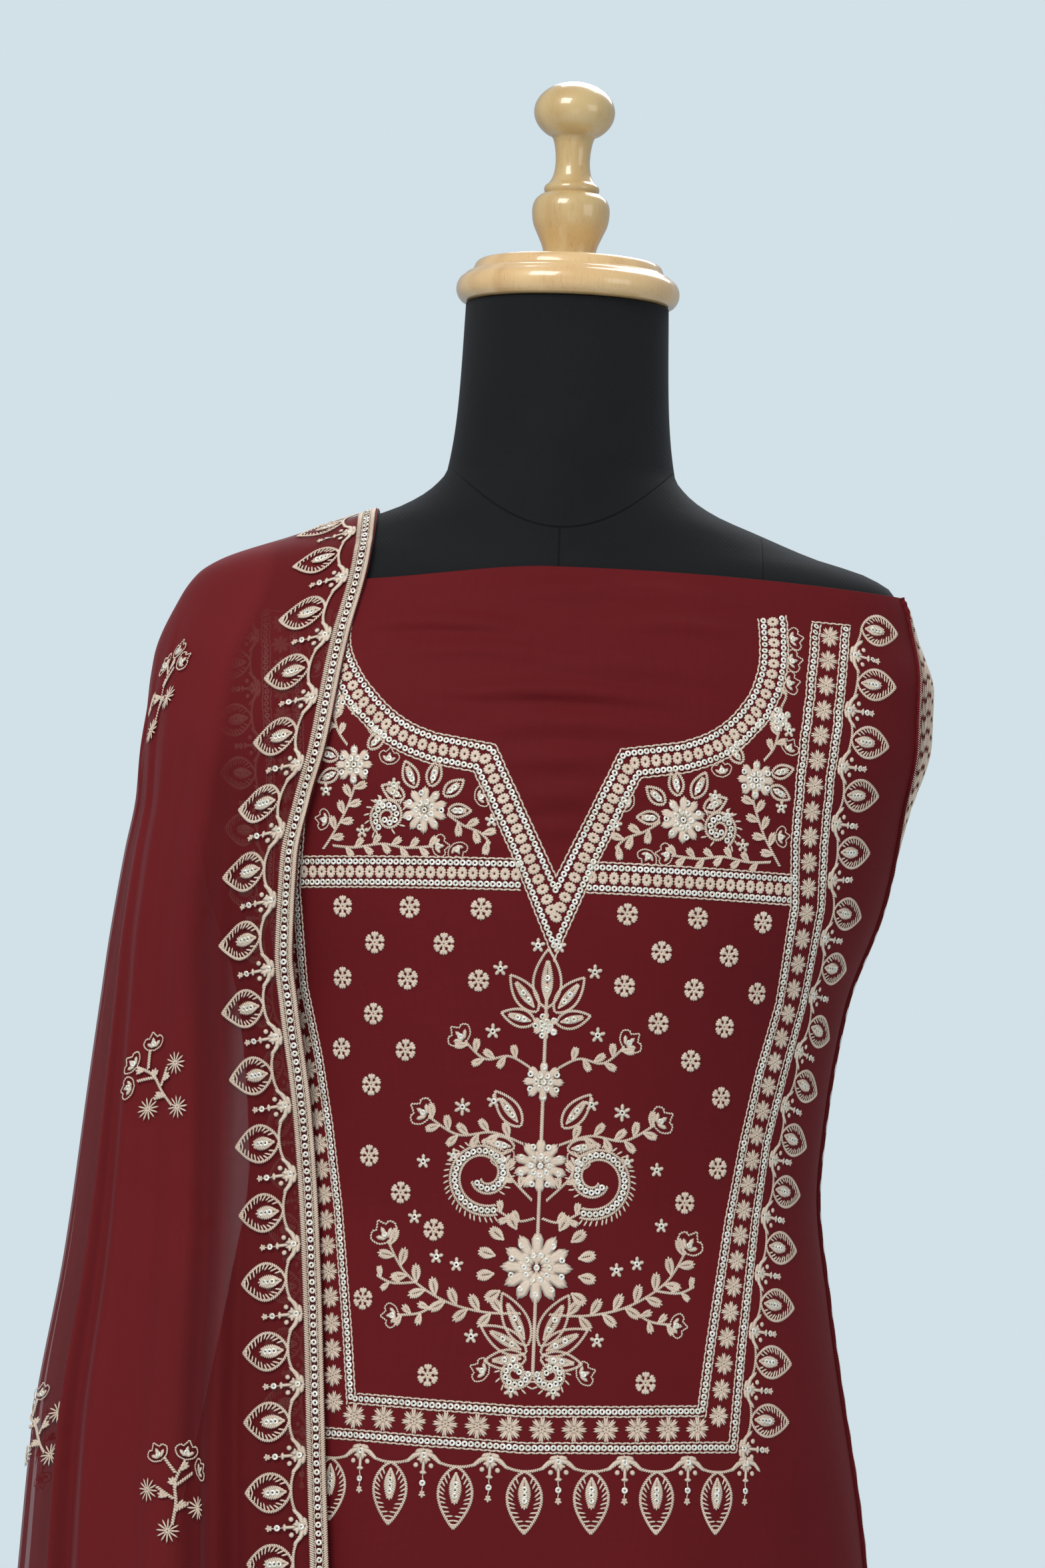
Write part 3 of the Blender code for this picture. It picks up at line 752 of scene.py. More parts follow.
kameez_pieces = {}
for name, node, points in (
    ("kameez_front_panel", "kameez_front", front_panel(140, 290)),
    ("kameez_back_panel", "kameez_back", back_panel(130, 170)),
    ("kameez_side_strip_right", "kameez_border_right", side_strip(8, 170, 1)),
    ("kameez_side_strip_left", "kameez_border_left", side_strip(8, 170, -1)),
):
    piece = grid_piece(name, points, kameez_cloth, CLOTH)
    seat(piece, "kameez_cloth", node)
    kameez_pieces[name] = (piece, points)

# %% [markdown]
# ## The salwar
#
# The salwar hangs under the kameez from a waistband on the form, and each leg is one sheet rolled into a tube
# that gathers into a narrow cuff. Only its foot shows below the hem, but it is built whole. The gathers are
# waves that grow towards the cuff and towards the waistband.

# %% Waistband, legs and cuffs
CROTCH, SEAT = 0.600, 0.760
CUFF_TOP, CUFF_FOOT = 0.0842, 0.0500
WAISTBAND_TOP, WAISTBAND_FOOT = 1.018, 0.986
SALWAR_EASE = 0.0009


def leg_points(side, across=96, rows=150):
    a = np.linspace(0, 1, across + 1)[None, :]
    z = np.linspace(WAISTBAND_FOOT - 3 * SEAM_GAP, LEG[0][0], rows + 1)[:, None]
    share = ease((z - CROTCH) / (SEAT - CROTCH))
    centre, width, depth = leg_centre(z), leg_width(z), leg_depth(z)
    gather = 0.0022 * ease((0.30 - z) / 0.20) * (0.5 - 0.5 * np.cos(2 * math.pi * 17 * a))
    gather = gather * ease((z - LEG[0][0]) / 0.012)
    soft = 0.0030 * bump(z, 0.34, 0.26) * (0.5 - 0.5 * np.cos(2 * math.pi * 5 * a + 3.0 * z))
    tube_angle = 2 * math.pi * (a - 0.5) * (1 - SEAM_GAP / (math.pi * depth))
    push = (gather + soft) * (1 - share)
    tube_x = centre + (width + push) * np.cos(tube_angle)
    tube_y = (depth + push) * np.sin(tube_angle)
    ease_out = SALWAR_EASE + 0.004 * ease((WAISTBAND_FOOT - z) / 0.08)
    body_x, body_y = on_ellipse(math.pi * a, form_width(z) + ease_out, form_front(z) + ease_out, form_back(z) + ease_out)
    body_x = np.maximum(body_x, SEAM_GAP / 2)
    x, y = mix(tube_x, body_x, share), mix(tube_y, body_y, share)
    points = np.stack(np.broadcast_arrays(x, y, z), axis=-1)
    return points if side > 0 else points[:, ::-1] * (-1, 1, 1)


def cuff_points(side, out=0.0, rows=6):
    angle = np.linspace(0, 2 * math.pi, 72, endpoint=False)[None, :]
    z = np.linspace(CUFF_TOP, CUFF_FOOT, rows + 1)[:, None]
    radius = leg_width(CUFF_TOP) + out
    x = side * leg_centre(CUFF_TOP) + radius * np.sin(angle)
    return np.stack(np.broadcast_arrays(x, -radius * np.cos(angle), z), axis=-1)


def waistband_points():
    angle = np.linspace(0, 2 * math.pi, 120, endpoint=False)[None, :]
    z = np.linspace(WAISTBAND_TOP, WAISTBAND_FOOT, 5)[:, None]
    x, y = on_ellipse(angle, *(f(z) + SALWAR_EASE for f in (form_width, form_front, form_back)))
    return np.stack(np.broadcast_arrays(x, y, z), axis=-1)


salwar_pieces = []
for word, side in (("right", 1), ("left", -1)):
    for name, nodes, points, closed in (
        (f"salwar_leg_cloth_{word}", (f"salwar_yoke_{word}", f"salwar_leg_{word}"), leg_points(side), False),
        (f"salwar_cuff_cloth_{word}", (f"salwar_cuff_{word}",), cuff_points(side), True),
    ):
        piece = grid_piece(name, points, salwar_cloth, CLOTH, closed)
        seat(piece, "salwar_cloth", *nodes)
        ring = np.concatenate((points, points[:, :1]), axis=1) if closed else points
        salwar_pieces.append((piece, ring))
points = waistband_points()
piece = grid_piece("salwar_waistband_cloth", points, salwar_cloth, CLOTH, True)
seat(piece, "salwar_cloth", "salwar_waistband")
salwar_pieces.append((piece, np.concatenate((points, points[:, :1]), axis=1)))

# %% [markdown]
# ## The dupatta
#
# The dupatta is one long sheer cloth, so here it is one sheet: up the back, over the shoulder and down the front.
# Its border edge lies near the neck and its other edge hangs off the arm. Long soft pleats fan out below the
# shoulder. Sheer cloth looks darker where more layers lie behind each other. The free side is folded into
# several layers, so one number for each point, `layers`, drives the alpha: 1 where the cloth is single.

# %% Points of the dupatta
SETTLE = 0.075
PLEAT_DRIFT = 0.030
ridge_steps = np.linspace(RIDGE_TOP, RIDGE_FOOT, 61)
ridge_lengths = np.concatenate(([0], np.cumsum(np.hypot(np.diff(dupatta_outer(ridge_steps)), np.diff(ridge_steps)))))


def ridge_height(share):
    """Height on the shoulder line, by the share of its length from the neck side to the arm side."""
    return np.interp(share * ridge_lengths[-1], ridge_lengths, ridge_steps)


def dupatta_depth(z, side):
    """Half depth of the dupatta's section: its border edge lies on the kameez, or on the shoulder."""
    in_front = side < 0
    shoulder = (form_front if in_front else form_back)(z - 0.0018) + 0.0018
    edge = (border_in_front if in_front else border_behind)(z)
    low = np.minimum(z, 1.388)
    width, outer = kameez_width(low), dupatta_outer(z)
    under = (kameez_front if in_front else kameez_back)(low) * np.sqrt(1 - np.minimum(edge / width, 0.99) ** 2)
    clear = CLOTH + 0.0017 + 0.0026 * ease((1.34 - z) / 0.10) + 0.0010 * ease((z - 1.352) / 0.012)
    clear = clear + 0.016 * ease((0.98 - z) / (0.98 - KAMEEZ_HEM))
    on_kameez = (under + clear) / np.sqrt(1 - np.minimum(edge / outer, 0.99) ** 2)
    on_kameez = np.where(z > 1.388, shoulder, np.maximum(shoulder, on_kameez))
    return mix(shoulder, on_kameez, ease((1.388 - z) / 0.010))


def pleats(share, z, side):
    """Depth of the long pleats: the six large ones, and finer ones that wander between them."""
    large = 0.5 - 0.5 * np.cos(2 * math.pi * DUPATTA_PLEATS * share)
    wander = 0.35 * np.sin(2.1 * z + 5.0 * share + side) + 0.25 * np.sin(7.0 * z + 2.0 * side)
    fine = 0.5 - 0.5 * np.cos(2 * math.pi * (15 * share + wander))
    middle = 0.5 - 0.5 * np.cos(2 * math.pi * (9 * share + 0.6 * wander) + 1.0)
    return 0.66 * large + 0.22 * middle + 0.12 * fine


def dupatta_points(share, fall, side, out=0.0):
    """share runs from the border edge to the arm edge, and fall from the ridge to the hem."""
    share, fall = np.broadcast_arrays(share, fall)
    u = share + PLEAT_DRIFT * np.sin(4 * math.pi * share)
    top = ridge_height(u)
    z = mix(top, DUPATTA_HEM, fall**1.8)
    outer = dupatta_outer(z)
    edge = (border_in_front if side < 0 else border_behind)(z)
    inner_angle = np.arcsin(np.minimum(1.0, edge / outer))
    hanging = outer * np.sin(mix(inner_angle, np.radians(arm_edge(z)), u))
    x = mix(dupatta_outer(top), hanging, ease((top - z) / SETTLE))
    angle = np.arcsin(np.minimum(x / outer, 1.0))
    depth = dupatta_depth(z, side)
    pleat = mix(0.0015, 0.013, ease((1.37 - z) / 0.75)) * ease((top - z) / 0.06) * pleats(share, z, side)
    x, y = on_ellipse(angle, outer, depth, depth, pleat + out)
    return np.stack((-x, -side * y, z), axis=-1)


def whole_dupatta(across, front_rows, back_rows, out=0.0):
    """The front fall turned upwards, then the back fall: rows run from the front hem to the back hem."""
    share = np.linspace(0, 1, across + 1)[None, :]
    front = np.linspace(1, 0, front_rows + 1)[:, None] ** 0.9
    back = np.linspace(0, 1, back_rows + 1)[1:, None] ** 0.9
    rows = (dupatta_points(share, front, -1, out), dupatta_points(share, back, 1, out))
    return np.concatenate(rows, axis=0)


def sheer_georgette():
    """The dupatta's cloth: each layer lets some light through, and the layers attribute says how many lie there."""
    material, shader, paint = new_material("dupatta_sheer_georgette", 0.78, Sheen_Weight=0.16, Sheen_Roughness=0.4)
    shader.inputs["Specular IOR Level"].default_value = 0.2
    shader.inputs["Sheen Tint"].default_value = (0.95, 0.55, 0.6, 1.0)
    threads = paint.node("UVMap", {"uv_map": "threads"})
    place = paint.node("TexCoord", output=3)
    layers = paint.node("Attribute", {"attribute_name": "layers"}, output=2)
    pebble = threads.noise(1300.0, 2.0, 0.7)
    drift = place.noise(9.0, 3.0)
    tone = ((drift - 0.5) * 0.8 + (pebble - 0.5) * 0.5 + 0.5).tint((0.138, 0.0075, 0.0098), (0.200, 0.0108, 0.0140))
    open_share = (1 - (0.54 + (pebble - 0.5) * 0.04)).math("POWER", layers)
    height = pebble * 0.2 + place.noise(45.0, 3.0) * 0.4
    feed(shader, Base_Color=tone, Alpha=1 - open_share, Normal=height.relief(0.0010, 0.4))
    return material


dupatta_cloth = sheer_georgette()
dupatta_grid = whole_dupatta(150, 130, 100)
dupatta_piece = grid_piece("dupatta_sheet", dupatta_grid[:, ::-1], dupatta_cloth, SHEER, even=False)


def layers_at(share, z):
    """How many thicknesses of cloth lie together: single by the border, folded over at the free side."""
    outer = ease((share - 0.72) / 0.05) * ease((1.28 - z) / 0.08)
    folded = 1.7 * ease((share - 0.345) / 0.08) * (1 - outer)
    over_shoulder = 0.55 * ease((z - 1.30) / 0.08)
    return 1.0 + 0.25 * outer + folded + over_shoulder


rows, columns = dupatta_grid.shape[:2]
share = np.broadcast_to(np.linspace(1, 0, columns)[None, :], (rows, columns))
layers = dupatta_piece.data.attributes.new("layers", "FLOAT", "POINT")
layers.data.foreach_set("value", layers_at(share, dupatta_grid[:, ::-1, 2]).ravel())
seat(dupatta_piece, "dupatta_cloth", "dupatta_front", "dupatta_shoulder", "dupatta_back")
print("dupatta faces", len(dupatta_piece.data.polygons))

# %% [markdown]
# ## A chart of the cloth
#
# Embroidery is drawn flat and then laid on the cloth. A `Chart` holds the outer face of a piece as rows of points,
# and turns a flat place (distance across, height) into a point and a normal. Flat places are complex numbers,
# because turning a motif is then one multiplication.

# %% From a flat place to the cloth
LIFT = 0.0002


class Chart:
    """The outer face of a cloth: across is measured along each row from its zero column, up is its own measure."""

    def __init__(self, points, zero, ups, outward, spacing=0.0012):
        lengths = arc_lengths(points, 1)
        lengths = lengths - np.take_along_axis(lengths, np.broadcast_to(zero, (len(points),))[:, None], 1)
        order = np.argsort(ups)
        self.ups = np.asarray(ups)[order]
        points, lengths = points[order], lengths[order]
        self.low, self.high = lengths.min(axis=1), lengths.max(axis=1)
        self.start, self.spacing = self.low.min(), spacing
        self.stations = np.arange(self.start, self.high.max() + spacing, spacing)
        self.points = np.empty((len(points), len(self.stations), 3))
        for row, (line, along) in enumerate(zip(points, lengths)):
            if along[0] > along[-1]:
                line, along = line[::-1], along[::-1]
            for axis in range(3):
                self.points[row, :, axis] = np.interp(self.stations, along, line[:, axis])
        across = np.gradient(self.points, axis=1)
        upward = np.gradient(self.points, axis=0)
        normals = np.cross(across, upward)
        length = np.linalg.norm(normals, axis=2, keepdims=True)
        normals = normals / np.where(length == 0, 1, length)
        facing = np.sign((normals * outward(self.points)).sum(axis=2, keepdims=True))
        self.normals = normals * np.where(facing == 0, 1, facing)

    def look(self, places, table):
        places = np.asarray(places)
        row = np.clip(np.interp(places.imag, self.ups, np.arange(len(self.ups))), 0, len(self.ups) - 1.001)
        column = np.clip((places.real - self.start) / self.spacing, 0, len(self.stations) - 1.001)
        r, c = row.astype(int), column.astype(int)
        fr, fc = (row - r)[..., None], (column - c)[..., None]
        upper = mix(table[r, c], table[r, c + 1], fc)
        lower = mix(table[r + 1, c], table[r + 1, c + 1], fc)
        return mix(upper, lower, fr)

    def point(self, places):
        return self.look(places, self.points)

    def normal(self, places):
        normal = self.look(places, self.normals)
        return normal / np.maximum(np.linalg.norm(normal, axis=-1, keepdims=True), 1e-9)

    def holds(self, places, margin=0.0):
        low, high = (np.interp(places.imag, self.ups, side) for side in (self.low, self.high))
        within = (places.imag > self.ups[0]) & (places.imag < self.ups[-1])
        return (places.real > low + margin) & (places.real < high - margin) & within

    def seen(self, x, z):
        """The place that the camera sees at (x, z) of the plane y = 0."""
        height, across = z, x
        for _ in range(8):
            row = int(np.clip(np.interp(height, self.ups, np.arange(len(self.ups))), 0, len(self.ups) - 2))
            line = self.points[row]
            across_here = float(np.interp(across, line[:, 0], self.stations))
            y = float(self.point(complex(across_here, height))[1])
            across = EYE.x + (x - EYE.x) * (1 + y / -EYE.y)
            height = EYE.z + (z - EYE.z) * (1 + y / -EYE.y)
        return complex(across_here, height)


def from_axis(points):
    return points * (1, 1, 0)


front_grid = front_panel(300, 420, CLOTH)
kameez_chart = Chart(front_grid, 150, front_grid[:, 150, 2], from_axis)
print("kameez chart", kameez_chart.points.shape)

# %% [markdown]
# ## Stitches and motifs
#
# A satin stitch, a rope stitch and a chain stitch are all short plump strands, so one recorder is enough: a `Work`
# keeps a list of stitches (from, to, width) and a list of sequins, drawn in millimetres. Motifs are small
# functions that return a Work, and `placed` moves, turns and mirrors it.

# %% The recorder, rows and rings
MM = 0.001


class Work:
    """Stitches and sequins drawn flat, in millimetres, as complex numbers."""

    def __init__(self, stitches=(), sequins=()):
        self.stitches = np.array(stitches, dtype=complex).reshape(-1, 3)
        self.sequins = np.array(sequins, dtype=complex).ravel()

    def __add__(self, other):
        made = Work()
        made.stitches = np.concatenate((self.stitches, other.stitches))
        made.sequins = np.concatenate((self.sequins, other.sequins))
        return made

    def placed(self, at=0, turn=1, mirror=False):
        """Moved to a place and turned by a complex number, whose size also scales it."""
        stitches, sequins = self.stitches.copy(), self.sequins
        if mirror:
            stitches[:, :2], sequins = -stitches[:, :2].conj(), -sequins.conj()
        stitches[:, :2] = stitches[:, :2] * turn + at
        stitches[:, 2] *= abs(turn)
        return Work(stitches, sequins * turn + at)


def together(works):
    works = list(works)
    made = Work()
    made.stitches = np.concatenate([made.stitches, *(w.stitches for w in works)])
    made.sequins = np.concatenate([made.sequins, *(w.sequins for w in works)])
    return made


def turned_by(degrees):
    return complex(math.cos(math.radians(degrees)), math.sin(math.radians(degrees)))


def evenly(path, pitch, ends=True):
    """Places at an even pitch along a path, and the directions there."""
    path = np.asarray(path, dtype=complex)
    along = np.concatenate(([0], np.cumsum(np.abs(np.diff(path)))))
    count = max(1, round(along[-1] / pitch))
    at = np.linspace(0, along[-1], count + 1) if ends else (np.arange(count) + 0.5) * along[-1] / count
    places = np.interp(at, along, path.real) + 1j * np.interp(at, along, path.imag)
    middle = np.interp(at + 0.05, along, path.real) + 1j * np.interp(at + 0.05, along, path.imag)
    before = np.interp(at - 0.05, along, path.real) + 1j * np.interp(at - 0.05, along, path.imag)
    ways = middle - before
    return places, ways / np.abs(ways)


def rope(path, pitch=1.3, long=2.0, wide=1.25, slant=50):
    """A corded line: short strands laid slantwise over the path."""
    places, ways = evenly(path, pitch, ends=False)
    lean = ways * turned_by(slant)
    return Work(np.stack((places - lean * long / 2, places + lean * long / 2, np.full(len(places), wide)), axis=1))


def chain(path, pitch=2.4, wide=1.25):
    """A chain stitch: plump links that lean to each side of the path by turns."""
    places, ways = evenly(path, pitch, ends=False)
    lean = ways * np.where(np.arange(len(places)) % 2, turned_by(13), turned_by(-13)) * pitch * 0.58
    return Work(np.stack((places - lean, places + lean, np.full(len(places), wide)), axis=1))


def sequin_row(path, pitch=3.5):
    return Work((), evenly(path, pitch, ends=False)[0])


def ladder(path, pitch, reach, wide=0.8, slant=78, shift=0.0):
    """Strands across the path, as an overlocked or satin edge has."""
    places, ways = evenly(path, pitch, ends=False)
    lean = ways * turned_by(slant)
    middle = places + ways * 1j * shift
    return Work(np.stack((middle - lean * reach / 2, middle + lean * reach / 2, np.full(len(places), wide)), axis=1))


def offset(path, distance):
    """A path moved to its left by a distance, with its corners mitred."""
    path = np.asarray(path, dtype=complex)
    ways = np.diff(path)
    ways = ways / np.abs(ways)
    before, after = np.concatenate((ways[:1], ways)), np.concatenate((ways, ways[-1:]))
    bisector = before + after
    bisector = bisector / np.abs(bisector)
    mitre = np.clip((bisector * before.conj()).real, 0.35, 1.0)
    return path + 1j * bisector * distance / mitre


def ring(wide, tall, strands=12, thick=1.95):
    """A plump oval of satin strands round a small hole."""
    angles = np.arange(strands) * 2 * math.pi / strands
    ways = wide * np.cos(angles) + 1j * tall * np.sin(angles)
    return Work([(0.2 * way, way, thick) for way in ways])


# %% Flowers, leaves and crowns


def spokes(count, inner, outer, wide, start=90.0):
    ways = [turned_by(start + 360 * i / count) for i in range(count)]
    return Work([(way * inner, way * outer, wide) for way in ways])


def pair(work):
    return work + work.placed(mirror=True)


def star_flower(reach):
    """Eight petals, each of two strands that part at their ends, thin strands between them, and a small disc."""
    petals = [spokes(8, 0.20 * reach, reach, 0.21 * reach, 90 + lean) for lean in (-6.5, 6.5)]
    return together(petals) + spokes(8, 0.25 * reach, 0.80 * reach, 0.6, 112.5) + ring(2.0, 2.0, 6, 1.7)


def heart_flower():
    """Six petals with a narrow neck and two round lobes, on a small disc."""
    lobes = [spokes(6, 3.5, 6.1, 2.5, 90 + lean) for lean in (-14, 14)]
    return together(lobes) + spokes(6, 1.2, 6.4, 2.1) + ring(2.2, 2.2, 7, 1.6)


def leaf_outline(long, wide, count=22):
    """The left side of a leaf that stands on the origin, from its foot to its tip."""
    t = np.linspace(0, 1, count)
    return -wide / 2 * np.sin(math.pi * t**0.82) ** 0.85 + 1j * long * t


def small_leaf(long=9.0, wide=4.2, thick=1.35):
    """A filled leaf of slanting strands, with its foot on the origin."""
    rise = np.arange(0.3, long - 2.0, 1.15)
    half = Work([(1j * y, 1j * (y + 1.9) + wide / 2 * math.sin(math.pi * (y / long) ** 0.8) + 0.3, thick) for y in rise])
    return pair(half) + Work([(1j * (long - 3.4), 1j * long, thick)])


def edged_leaf(long=33.0, wide=18.5, hatches=12):
    """A corded outline with plump inward strands along it, and a small chevron leaf with sequins inside."""
    side = leaf_outline(long, wide)
    outline = rope(side) + rope(-side.conj(), slant=-50)
    places, ways = evenly(side[2:-1], long / hatches)
    inward = ways * turned_by(-62)
    hatch = Work([(p, p + w * (4.8 if i % 2 else 4.0), 1.15) for i, (p, w) in enumerate(zip(places, inward))])
    inner = small_leaf(long * 0.54, wide * 0.36).placed(1j * long * 0.08)
    return outline + pair(hatch) + inner + Work((), [1j * long * s for s in (0.29, 0.38, 0.47)])


def crown(stem=12.0):
    """A little crown: a domed base, two pointed arms, two round knobs, a tip, and a stem with a sequin and a star."""
    half = Work(
        [
            (0.2 + 0.6j, 5.0 + 1.8j, 2.8),
            (1.0 + 2.6j, 6.6 + 4.0j, 3.0),
            (4.4 + 2.4j, 10.0 + 8.2j, 2.5),
            (1.2 + 0.6j, 1.4 + 8.2j, 3.2),
            (0.9 + 5.4j, 3.8 + 6.0j, 1.9),
            (3.4 + 8.0j, 5.2 + 10.0j, 3.0),
            (3.4 + 9.8j, 5.2 + 8.2j, 3.0),
        ]
    )
    tip = Work([(6.0j, 14.4j, 2.0), (-2.0 + 12.8j, 2.0 + 12.8j, 2.2)])
    line = chain([13.0j, 1j * (13.0 + stem)], 2.0, 0.8)
    end = spokes(5, 0.2, 1.9, 1.5).placed(1j * (13.6 + stem))
    return pair(half) + tip + line + Work((), [3.4j, 1j * (13.0 + stem * 0.5)]) + end


def floret(petals=5, reach=4.2):
    """A small open flower round one sequin."""
    return spokes(petals, 1.4, reach, 2.4) + Work((), [0])


def outlined_bud(size=1.0):
    """A three-lobed bud inside a corded line, with a sequin, standing on the origin."""
    lobes = Work([(1.0j, 7.0j, 2.6), (0.4 + 1.0j, 4.4 + 4.2j, 2.4), (-0.4 + 1.0j, -4.4 + 4.2j, 2.4)], [3.2j])
    side = np.array([complex(*p) for p in through([(0, -1), (4.6, 0.6), (7.0, 4.6), (4.8, 7.4), (2.8, 7.0), (0, 10.6)], 5)])
    line = rope(side, 1.35, 1.3, 1.0, 30)
    return (lobes + pair(line)).placed(0, size)


def rosette(radius, petals=10):
    """A layered round flower: broad petals of three strands, an inner round of petals, and rings of sequins."""
    broad = [
        spokes(petals, radius * 0.30, radius * reach, radius * 0.24, 90 + lean * 56 / petals)
        for lean, reach in ((-1, 0.93), (0, 1.0), (1, 0.93))
    ]
    inner = spokes(petals, radius * 0.12, radius * 0.56, radius * 0.26, 90 + 180 / petals)
    count = max(5, round(radius * 0.5))
    rings = [
        radius * far * turned_by(360 * (i + shift) / count)
        for far, shift in ((0.34, 0.0), (0.72, 0.5))
        for i in range(count)
    ]
    return together(broad) + inner + Work((), [*rings, 0])


def curl(radius, turns=1.25, start=-90.0, wide=5.4):
    """A scroll that winds inwards: a row of sequins between two cords, with short strands along its outer side."""
    t = np.linspace(0, 1, 44)
    spiral = radius * (1 - 0.74 * t) * np.exp(1j * (np.radians(start) + 2 * math.pi * turns * t))
    spiral = spiral - spiral[0]
    cords = [rope(offset(spiral, side * wide / 2)) for side in (-1, 1)]
    fringe = ladder(spiral[:34], 2.5, 3.8, 1.25, 66, -wide / 2 - 2.6)
    return together(cords) + fringe + sequin_row(spiral, 3.5)


star, foot_star, buti = star_flower(6.3), star_flower(7.2), heart_flower()
leaf, tall_leaf = edged_leaf(29.0, 17.5, 11), edged_leaf(33.5, 19.0, 12)
print("stitches in a leaf", len(leaf.stitches), "in a crown", len(crown().stitches), "in a star", len(star.stitches))

# %% [markdown]
# ## Stamping stitches with Geometry Nodes
#
# There are tens of thousands of strands, so each is one point with two attributes, `turn` and `size`, and a
# Geometry Nodes tree stamps a strand on every point. A sequin is a small flat ring. Real sequins never lie quite
# flat, which is why they glitter, so their tree adds a small random tilt from a fixed seed.

# %% Thread and sequin finishes


def floss():
    material, shader, paint = new_material("beige_satin_floss", 0.52, Sheen_Weight=0.25, Sheen_Roughness=0.35)
    place = paint.node("TexCoord", output=3)
    strands = place.noise(1500.0, 2.0, 0.6)
    drift = place.noise(55.0, 2.0)
    tone = (strands * 0.6 + drift * 0.4).step(0.25, 0.8).tint((0.68, 0.520, 0.392), (0.92, 0.770, 0.620))
    feed(shader, Base_Color=tone, Normal=strands.relief(0.0002, 0.6))
    return material


def sequin_foil():
    material, shader, paint = new_material("pale_gold_sequin", 0.3, Metallic=0.35, Coat_Weight=0.7, Coat_Roughness=0.10)
    place = paint.node("TexCoord", output=3)
    tone = place.noise(140.0, 1.0).step(0.3, 0.7).tint((0.86, 0.82, 0.67), (0.98, 0.96, 0.87))
    feed(shader, Base_Color=tone, Roughness=place.noise(420.0, 1.0) * 0.3 + 0.12)
    return material



def sewing_thread():
    material, shader, paint = new_material("red_sewing_thread", 0.55, Sheen_Weight=0.2, Sheen_Roughness=0.4)
    place = paint.node("TexCoord", output=3)
    strands = place.noise(1800.0, 2.0, 0.6)
    tone = strands.tint((0.125, 0.0070, 0.0095), (0.190, 0.0105, 0.0135))
    feed(shader, Base_Color=tone, Normal=strands.relief(0.0001, 0.5))
    return material


floss_material, foil_material, red_material = floss(), sequin_foil(), sewing_thread()

# %% The two stamping trees


def stamping_tree(name, sizes, material):
    """A tree with named size inputs. It stamps a sequin where the sizes have a tilt, and a strand where not."""
    tree = bpy.data.node_groups.new(name, "GeometryNodeTree")
    tree.interface.new_socket("Geometry", in_out="INPUT", socket_type="NodeSocketGeometry")
    for label, value in sizes.items():
        kind = "NodeSocketInt" if isinstance(value, int) else "NodeSocketFloat"
        tree.interface.new_socket(label, in_out="INPUT", socket_type=kind).default_value = value
    tree.interface.new_socket("Geometry", in_out="OUTPUT", socket_type="NodeSocketGeometry")
    start = tree.nodes.new("NodeGroupInput")
    inputs = {label: Wire(tree, start.outputs[label]) for label in ("Geometry", *sizes)}
    wire = Wire(tree)
    turn = wire.node("GeometryNodeInputNamedAttribute", {"data_type": "FLOAT_VECTOR"}, {"Name": "turn"})
    size = wire.node("GeometryNodeInputNamedAttribute", {"data_type": "FLOAT_VECTOR"}, {"Name": "size"})
    if "Tilt" in sizes:
        tilt = inputs["Tilt"]
        high = wire.node("CombineXYZ", None, {0: tilt, 1: tilt})
        low = high.node("VectorMath", {"operation": "SCALE"}, {0: high, "Scale": -1.0})
        spread = {0: low, 1: high, "Seed": inputs["Seed"]}
        wobble = wire.node("FunctionNodeRandomValue", {"data_type": "FLOAT_VECTOR"}, spread)
        turn = wire.node("FunctionNodeRotateRotation", {"rotation_space": "LOCAL"}, {0: turn, 1: wobble})
        round_sizes = {"Resolution": inputs["Sides"], "Radius": inputs["Radius"]}
        circle = wire.node("GeometryNodeCurvePrimitiveCircle", None, round_sizes)
        flat_sizes = {"Width": inputs["Band"], "Height": inputs["Thickness"]}
        band = wire.node("GeometryNodeCurvePrimitiveQuadrilateral", None, flat_sizes)
        stamp = wire.node("GeometryNodeCurveToMesh", None, {"Curve": circle, "Profile Curve": band})
    else:
        ball_sizes = {"Segments": inputs["Sides"], "Rings": inputs["Rings"], "Radius": 0.5}
        stamp = wire.node("GeometryNodeMeshUVSphere", None, ball_sizes)
        stamp = wire.node("GeometryNodeSetShadeSmooth", None, {"Geometry": stamp})
    stamps = {"Points": inputs["Geometry"], "Instance": stamp, "Rotation": turn, "Scale": size}
    stamped = wire.node("GeometryNodeInstanceOnPoints", None, stamps)
    real = wire.node("GeometryNodeRealizeInstances", None, {0: stamped})
    painted = wire.node("GeometryNodeSetMaterial", None, {"Geometry": real, "Material": material})
    end = tree.nodes.new("NodeGroupOutput")
    tree.links.new(painted.socket, end.inputs[0])
    return tree


strand_tree = stamping_tree("stamp_strands", {"Sides": 4, "Rings": 3}, floss_material)
red_strand_tree = stamping_tree("stamp_red_strands", {"Sides": 4, "Rings": 3}, red_material)
sequin_tree = stamping_tree(
    "stamp_sequins",
    {"Sides": 10, "Radius": 0.00122, "Band": 0.00118, "Thickness": 0.00022, "Tilt": 0.20, "Seed": 5},
    foil_material,
)


def euler_of(side, normal, along):
    """Turns of an XYZ Euler whose matrix has these columns."""
    return np.stack(
        (np.arctan2(normal[:, 2], along[:, 2]), -np.arcsin(np.clip(side[:, 2], -1, 1)), np.arctan2(side[:, 1], side[:, 0])),
        axis=1,
    )


